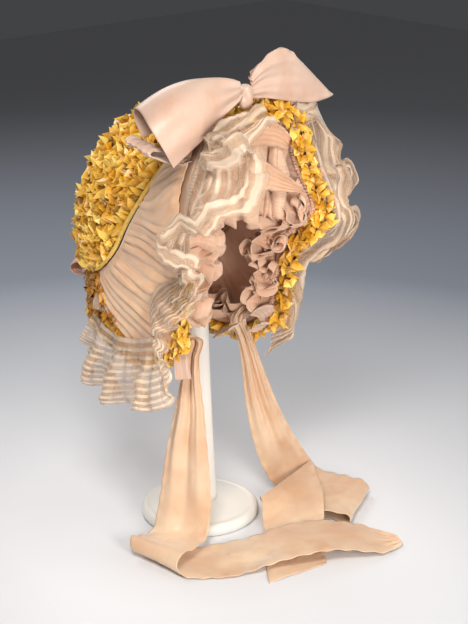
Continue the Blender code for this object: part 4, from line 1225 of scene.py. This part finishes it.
def chiffon_waves(phase):
    """The frill curls from side to side in loops that are wider than their necks."""
    def extra(s, share):
        grow = share ** 0.8
        turn = TURN * s / 0.031 + 1.5 * wander(s * 25, phase)
        high = 0.0105 * (1 + 0.4 * wander(s * 30, phase + 6))
        fine = 0.0016 * math.sin(TURN * s / 0.0095 + 3.0 * wander(s * 50, phase + 5))
        ripple = 0.0014 * wander(s * 150, share * 6, phase)
        gather = 0.0012 * math.sin(TURN * s / 0.005) * (1 - ramp(share, 0.0, 0.4))
        fold = 0.0050 * math.sin(TURN * (1.3 * share + 0.6 * wander(s * 20, phase + 1))) * share
        curl = 0.0070 * math.cos(turn) * share + 0.004 * wander(s * 60, share * 3, phase + 2)
        along = -0.0042 * math.sin(2 * turn) * share
        return (high * math.sin(turn) + fine) * grow + ripple + gather + fold, curl, 0.0, along
    return extra


def build_frills():
    # The near ruffle's first folds lift at their free edge more than their solid does, in front of the bow.
    lifted = [list(row) for row in RUFFLE_RIGHT_ROWS]
    for row in lifted:
        row[4] += 0.16 * ramp(row[0], -2.0, -1.5) * (1 - ramp(row[0], -1.1, -0.6))
    for name, rows, solid, steps, phase in (
        ("organza_right", lifted, "ruffle_right", 800, 0.4),
        ("organza_left", RUFFLE_LEFT_ROWS, "ruffle_left", 460, 2.9),
    ):
        waves = organza_waves(phase, 0.42)
        grid = frill_grid(rows, RUFFLE_WIDTH, outer_root, steps, 44, 0.06, waves)
        piece = cloth(name, grid, SHEER_THICKNESS, ORGANZA, uv_size=RUFFLE_WIDTH)
        match(piece, solid)
        own(piece, "ivory_organza", solid)
    # Each face frill is two layers deep: a wide one, and a narrower one that fills its hollows.
    for name, rows, solid, steps, phase, wider in (
        ("chiffon_frill_right", FRILL_RIGHT_ROWS, "face_frill_right", 300, 1.2, 1.45),
        ("chiffon_frill_left", FRILL_LEFT_ROWS, "face_frill_left", 300, 5.1, 1.35),
        ("chiffon_frill_top", FRILL_TOP_ROWS, "face_frill_top", 300, 3.3, 1.2),
        ("chiffon_frill_lower", FRILL_LOWER_ROWS, "face_frill_lower", 200, 7.7, 1.15),
    ):
        for layer, share in (("", 1.0), ("_inner", 0.68)):
            waves = chiffon_waves(phase + 2.6 * (share < 1))
            grid = frill_grid(rows, FRILL_WIDTH * wider * share, inner_root, steps, 20, 0.06 / share, waves)
            piece = cloth(name + layer, grid, SHEER_THICKNESS, FRILL, uv_size=FRILL_WIDTH)
            if share == 1:
                match(piece, solid)
            own(piece, "pink_chiffon", *([solid] if share == 1 else []))


# Ribbons


def ribbon_grid(rows, start, width, steps, columns, root, crease):
    """A ribbon through its sections. crease gives its wrinkles' height by length and share of the width."""
    rows = np.array(rows, float)
    if root:
        rows = sewn(rows, start, width, root)
    sections = np.array([smooth(rows, place) for place in np.linspace(0, len(rows) - 1, steps + 1)])
    middles = np.array(start) + sections[:, :3] * width
    heading = unit(np.gradient(middles, axis=0))
    length = lengths(middles)
    grid = []
    for middle, ahead, section, s in zip(middles, heading, sections, length):
        wide = unit(section[3:6])
        up = unit(np.cross(wide, ahead))
        gathered = max(0.0, 1 - section[6])
        line = []
        for column in range(columns + 1):
            share = column / columns - 0.5
            pleat = section[7] * width * math.cos(4 * math.pi * share)
            pleat += crease(s, share, gathered)
            line.append(middle + wide * share * width * section[6] + up * pleat)
        grid.append(line)
    return np.array(grid)


def tie_crease(seed, lift):
    def crease(s, share, gathered):
        long = 0.0030 * gathered * lift ** 2 * math.cos(TURN * share * 5 + 2.0 * wander(s * 12, seed))
        slow = 0.0022 * wander(s * 20, share * 2.5, seed) * lift
        small = 0.0006 * wander(s * 75, share * 7, seed + 4) * lift
        hem = 0.0009 * ramp(abs(share), 0.38, 0.5) * math.sin(s * 260 + seed * 3 + (3 if share > 0 else 0))
        return long + slow + small + hem
    return crease


RIBBON_PIECES = (
    # name, solid, start, rows, root, steps, columns, finish
    ("loop_left", "bow_loop_left", BOW_START, BOW_LEFT_ROWS, None, 110, 22, SATIN),
    ("under_loop", "bow_under_loop", BOW_START, UNDER_LOOP_ROWS, None, 70, 14, SATIN),
    ("face_fold", "face_ribbon_fold", FACE_FOLD_START, FACE_FOLD_ROWS, FACE_FOLD_ROOT, 60, 16, FACE_SATIN_SHADED),
    ("face_end", "face_ribbon_end", FACE_END_START, FACE_END_ROWS, FACE_END_ROOT, 80, 16, FACE_SATIN_SHADED),
    ("short_end", "short_ribbon_end", SHORT_END_START, SHORT_END_ROWS, None, 30, 12, SATIN),
    ("nape_loop", "nape_loop", NAPE_LOOP_START, NAPE_LOOP_ROWS, None, 60, 14, NAPE_SATIN),
    ("nape_end", "nape_ribbon_end", NAPE_END_START, NAPE_END_ROWS, None, 24, 10, SATIN),
    ("chin_loop", "chin_loop", CHIN_LOOP_START, CHIN_LOOP_ROWS, None, 60, 14, SATIN),
    ("chin_end", "chin_ribbon_end", CHIN_END_START, CHIN_END_ROWS, None, 24, 12, SATIN),
    ("tie_right", "tie_right", TIE_RIGHT_START, TIE_RIGHT_ROWS, TIE_RIGHT_ROOT, 320, 30, TIE_SATIN),
    ("tie_left", "tie_left", TIE_LEFT_START, TIE_LEFT_ROWS, TIE_LEFT_ROOT, 360, 30, TIE_SATIN),
)


def build_ribbons():
    for seed, (name, solid, start, rows, root, steps, columns, finish) in enumerate(RIBBON_PIECES, 1):
        tie = name.startswith("tie")
        width = TIE_WIDTH if tie else BOW_WIDTH
        grid = ribbon_grid(rows, start, width, steps, columns, root, tie_crease(seed, 1.0 if tie else 0.8))
        if tie:
            grid[..., 2] = np.maximum(grid[..., 2], 0.0006)
        piece = cloth("satin_" + name, grid, SATIN_THICKNESS, finish, uv_size=width)
        if not tie:
            match(piece, solid)
        own(piece, "peach_satin", solid)


def build_bow():
    rows = np.array(BOW_RIGHT_ROWS, float)
    middle = np.mean([(row[0:3] + row[3:6]) / 2 for row in rows], axis=0)
    steps, columns = 110, 60
    grid = []
    for step in range(steps + 1):
        section = smooth(rows, step / steps * (len(rows) - 1))
        rim, knot, arch = section[0:3], section[3:6], section[6]
        away = unit((rim + knot) / 2 - middle)
        line = []
        for column in range(columns + 1):
            share = column / columns
            place = rim + (knot - rim) * share + away * arch * 4 * share * (1 - share)
            gather = 0.030 * ramp(share, 0.45, 1.0) * (1 - 0.6 * ramp(share, 0.93, 1.0))
            place = place + away * gather * math.cos(TURN * step / steps * 5.5 + 3 * share)
            place = place + away * 0.012 * wander(step * 0.05, share * 4, 1.5)
            line.append(np.array(BOW_START) + place * BOW_WIDTH)
        grid.append(line)
    loop = cloth("satin_loop_right", np.array(grid), SATIN_THICKNESS, SATIN)
    match(loop, "bow_loop_right")
    own(loop, "peach_satin", "bow_loop_right")
    # The knot is a band of ribbon drawn tight, with folds that run round it.
    rings, sides = 28, 48
    points, faces = [], []
    for i in range(rings + 1):
        angle = math.pi * i / rings
        for j in range(sides):
            turn = TURN * j / sides
            fold = 1 + 0.10 * math.cos(4 * turn + 1.2 * math.sin(2 * angle))
            fold += 0.04 * wander(turn * 2, angle * 3, 5)
            radius = BOW_WIDTH * 0.12 * math.sin(angle) ** 0.7 * fold
            level = BOW_WIDTH * 0.174 * math.cos(angle)
            points.append((0.95 * radius * math.cos(turn), radius * math.sin(turn), level))
    for i in range(rings):
        for j in range(sides):
            k = (j + 1) % sides
            faces.append((i * sides + j, (i + 1) * sides + j, (i + 1) * sides + k, i * sides + k))
    knot = add_mesh("satin_knot", np.array(points) + np.array(BOW_START), faces, SATIN)
    weld = knot.modifiers.new("Weld", "WELD")
    weld.merge_threshold = 0.0001
    match(knot, "bow_knot")
    own(knot, "peach_satin", "bow_knot")


# Stand


def build_stand():
    base, foot, lip = BASE_DIAMETER / 2, POST_FOOT / 2, BASE_RIM / 2
    profile = [(0, BASE_HEIGHT), (foot * 0.98, BASE_HEIGHT), (foot * 1.25, BASE_HEIGHT - 0.001)]
    for inward, rise in ((3.0, 0.0018), (2.0, 0.0002), (1.6, -0.0004)):
        profile.append((base - inward * lip, BASE_RIM + rise))
    for step in range(15):
        angle = math.radians(110 - 14 * step)
        profile.append((base - lip + lip * math.cos(angle), lip + lip * math.sin(angle)))
    profile += [(base - 1.2 * lip, 0), (0, 0)]
    own(turned("base_disc", profile, 128, ENAMEL), "stand_enamel", "stand_base")
    low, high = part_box("stand_post")
    top, bottom = high[2], low[2]
    slim = POST_TOP / 2
    profile = [(0, top), (slim, top)]
    for step in range(24):
        share = step / 23
        level = top * 0.6 + (bottom - top * 0.6) * share ** 0.7
        profile.append((slim + (foot - slim) * share, level))
    profile += [(0, bottom)]
    own(turned("post_shaft", profile, 64, ENAMEL), "stand_enamel", "stand_post")
    low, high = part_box("stand_pad")
    pad = PAD_DIAMETER / 2
    profile = [(0, high[2])]
    for step in range(1, 17):
        angle = math.radians(90 - 5.625 * step)
        profile.append((pad * math.cos(angle), low[2] + PAD_HEIGHT * (0.35 + 0.65 * math.sin(angle))))
    profile += [(pad * 0.85, low[2]), (0, low[2])]
    own(turned("post_head", profile, 64, ENAMEL), "stand_enamel", "stand_pad")


def build_room():
    mesh = bpy.data.meshes.new("floor")
    corners = [(x * FLOOR_REACH, y * FLOOR_REACH, 0) for x, y in ((-1, -1), (1, -1), (1, 1), (-1, 1))]
    mesh.from_pydata(corners, [], [(0, 1, 2, 3)])
    floor = bpy.data.objects.new("floor", mesh)
    bpy.context.scene.collection.objects.link(floor)
    pale, tree, surface, place = shader("pale_floor")
    # The floor is pale near the stand and darkens with distance: painted shade for the light falling off.
    far = node(tree, "ShaderNodeVectorMath", [(0, place)], operation="LENGTH").outputs["Value"]
    near = stained(tree, (0.78, 0.79, 0.82), (0.25, 0.28, 0.34), far, 0.25, 1.0)
    falloff_shade = stained(tree, near, (0.09, 0.095, 0.11), far, 0.9, 2.4)
    wire(tree, surface, Base_Color=falloff_shade, Roughness=0.7)
    mesh.materials.append(pale)
    world = bpy.data.worlds.new("studio")
    bpy.context.scene.world = world
    world.use_nodes = True
    sky = world.node_tree.nodes["Background"]
    sky.inputs["Color"].default_value = (0.90, 0.89, 0.88, 1)
    sky.inputs["Strength"].default_value = 0.30
    # Above the horizon the camera sees the far floor's dark colour, painted shade like the floor's, set apart
    # from the light that the world gives.
    tree = world.node_tree
    seen = node(tree, "ShaderNodeBackground", Color=(0.055, 0.056, 0.058, 1)).outputs[0]
    ray = node(tree, "ShaderNodeLightPath").outputs["Is Camera Ray"]
    mix = node(tree, "ShaderNodeMixShader", [(0, ray), (1, sky.outputs[0]), (2, seen)])
    tree.links.new(mix.outputs[0], tree.nodes["World Output"].inputs["Surface"])
    for name, place, size, power, colour in (
        ("key", (-1.0, -0.9, 1.7), 0.6, 24, (1.0, 0.97, 0.93)),
        ("fill", (1.5, -1.2, 0.9), 1.2, 8, (1.0, 0.96, 0.92)),
        ("back", (0.4, 1.5, 1.5), 1.0, 14, (1.0, 0.98, 0.96)),
        ("inner", (-0.35, -1.0, 0.45), 0.3, 7, (1.0, 0.95, 0.89)),
    ):
        light = bpy.data.objects.new(name, bpy.data.lights.new(name, "AREA"))
        light.data.size = size
        light.data.energy = power
        light.data.color = colour
        light.location = place
        aim = Vector((0, -0.02, 0.33)) - Vector(place)
        light.rotation_euler = aim.to_track_quat("-Z", "Y").to_euler()
        bpy.context.scene.collection.objects.link(light)
    bpy.context.scene.view_settings.view_transform = "Standard"
    # Light passes many layers of sheer cloth.
    bpy.context.scene.cycles.transparent_max_bounces = 32


build_stand()
build_crown()
build_crown_edge()
build_brim()
build_drape()
build_facing()
build_lining()
build_ruching()
build_frills()
build_ribbons()
build_bow()
build_room()
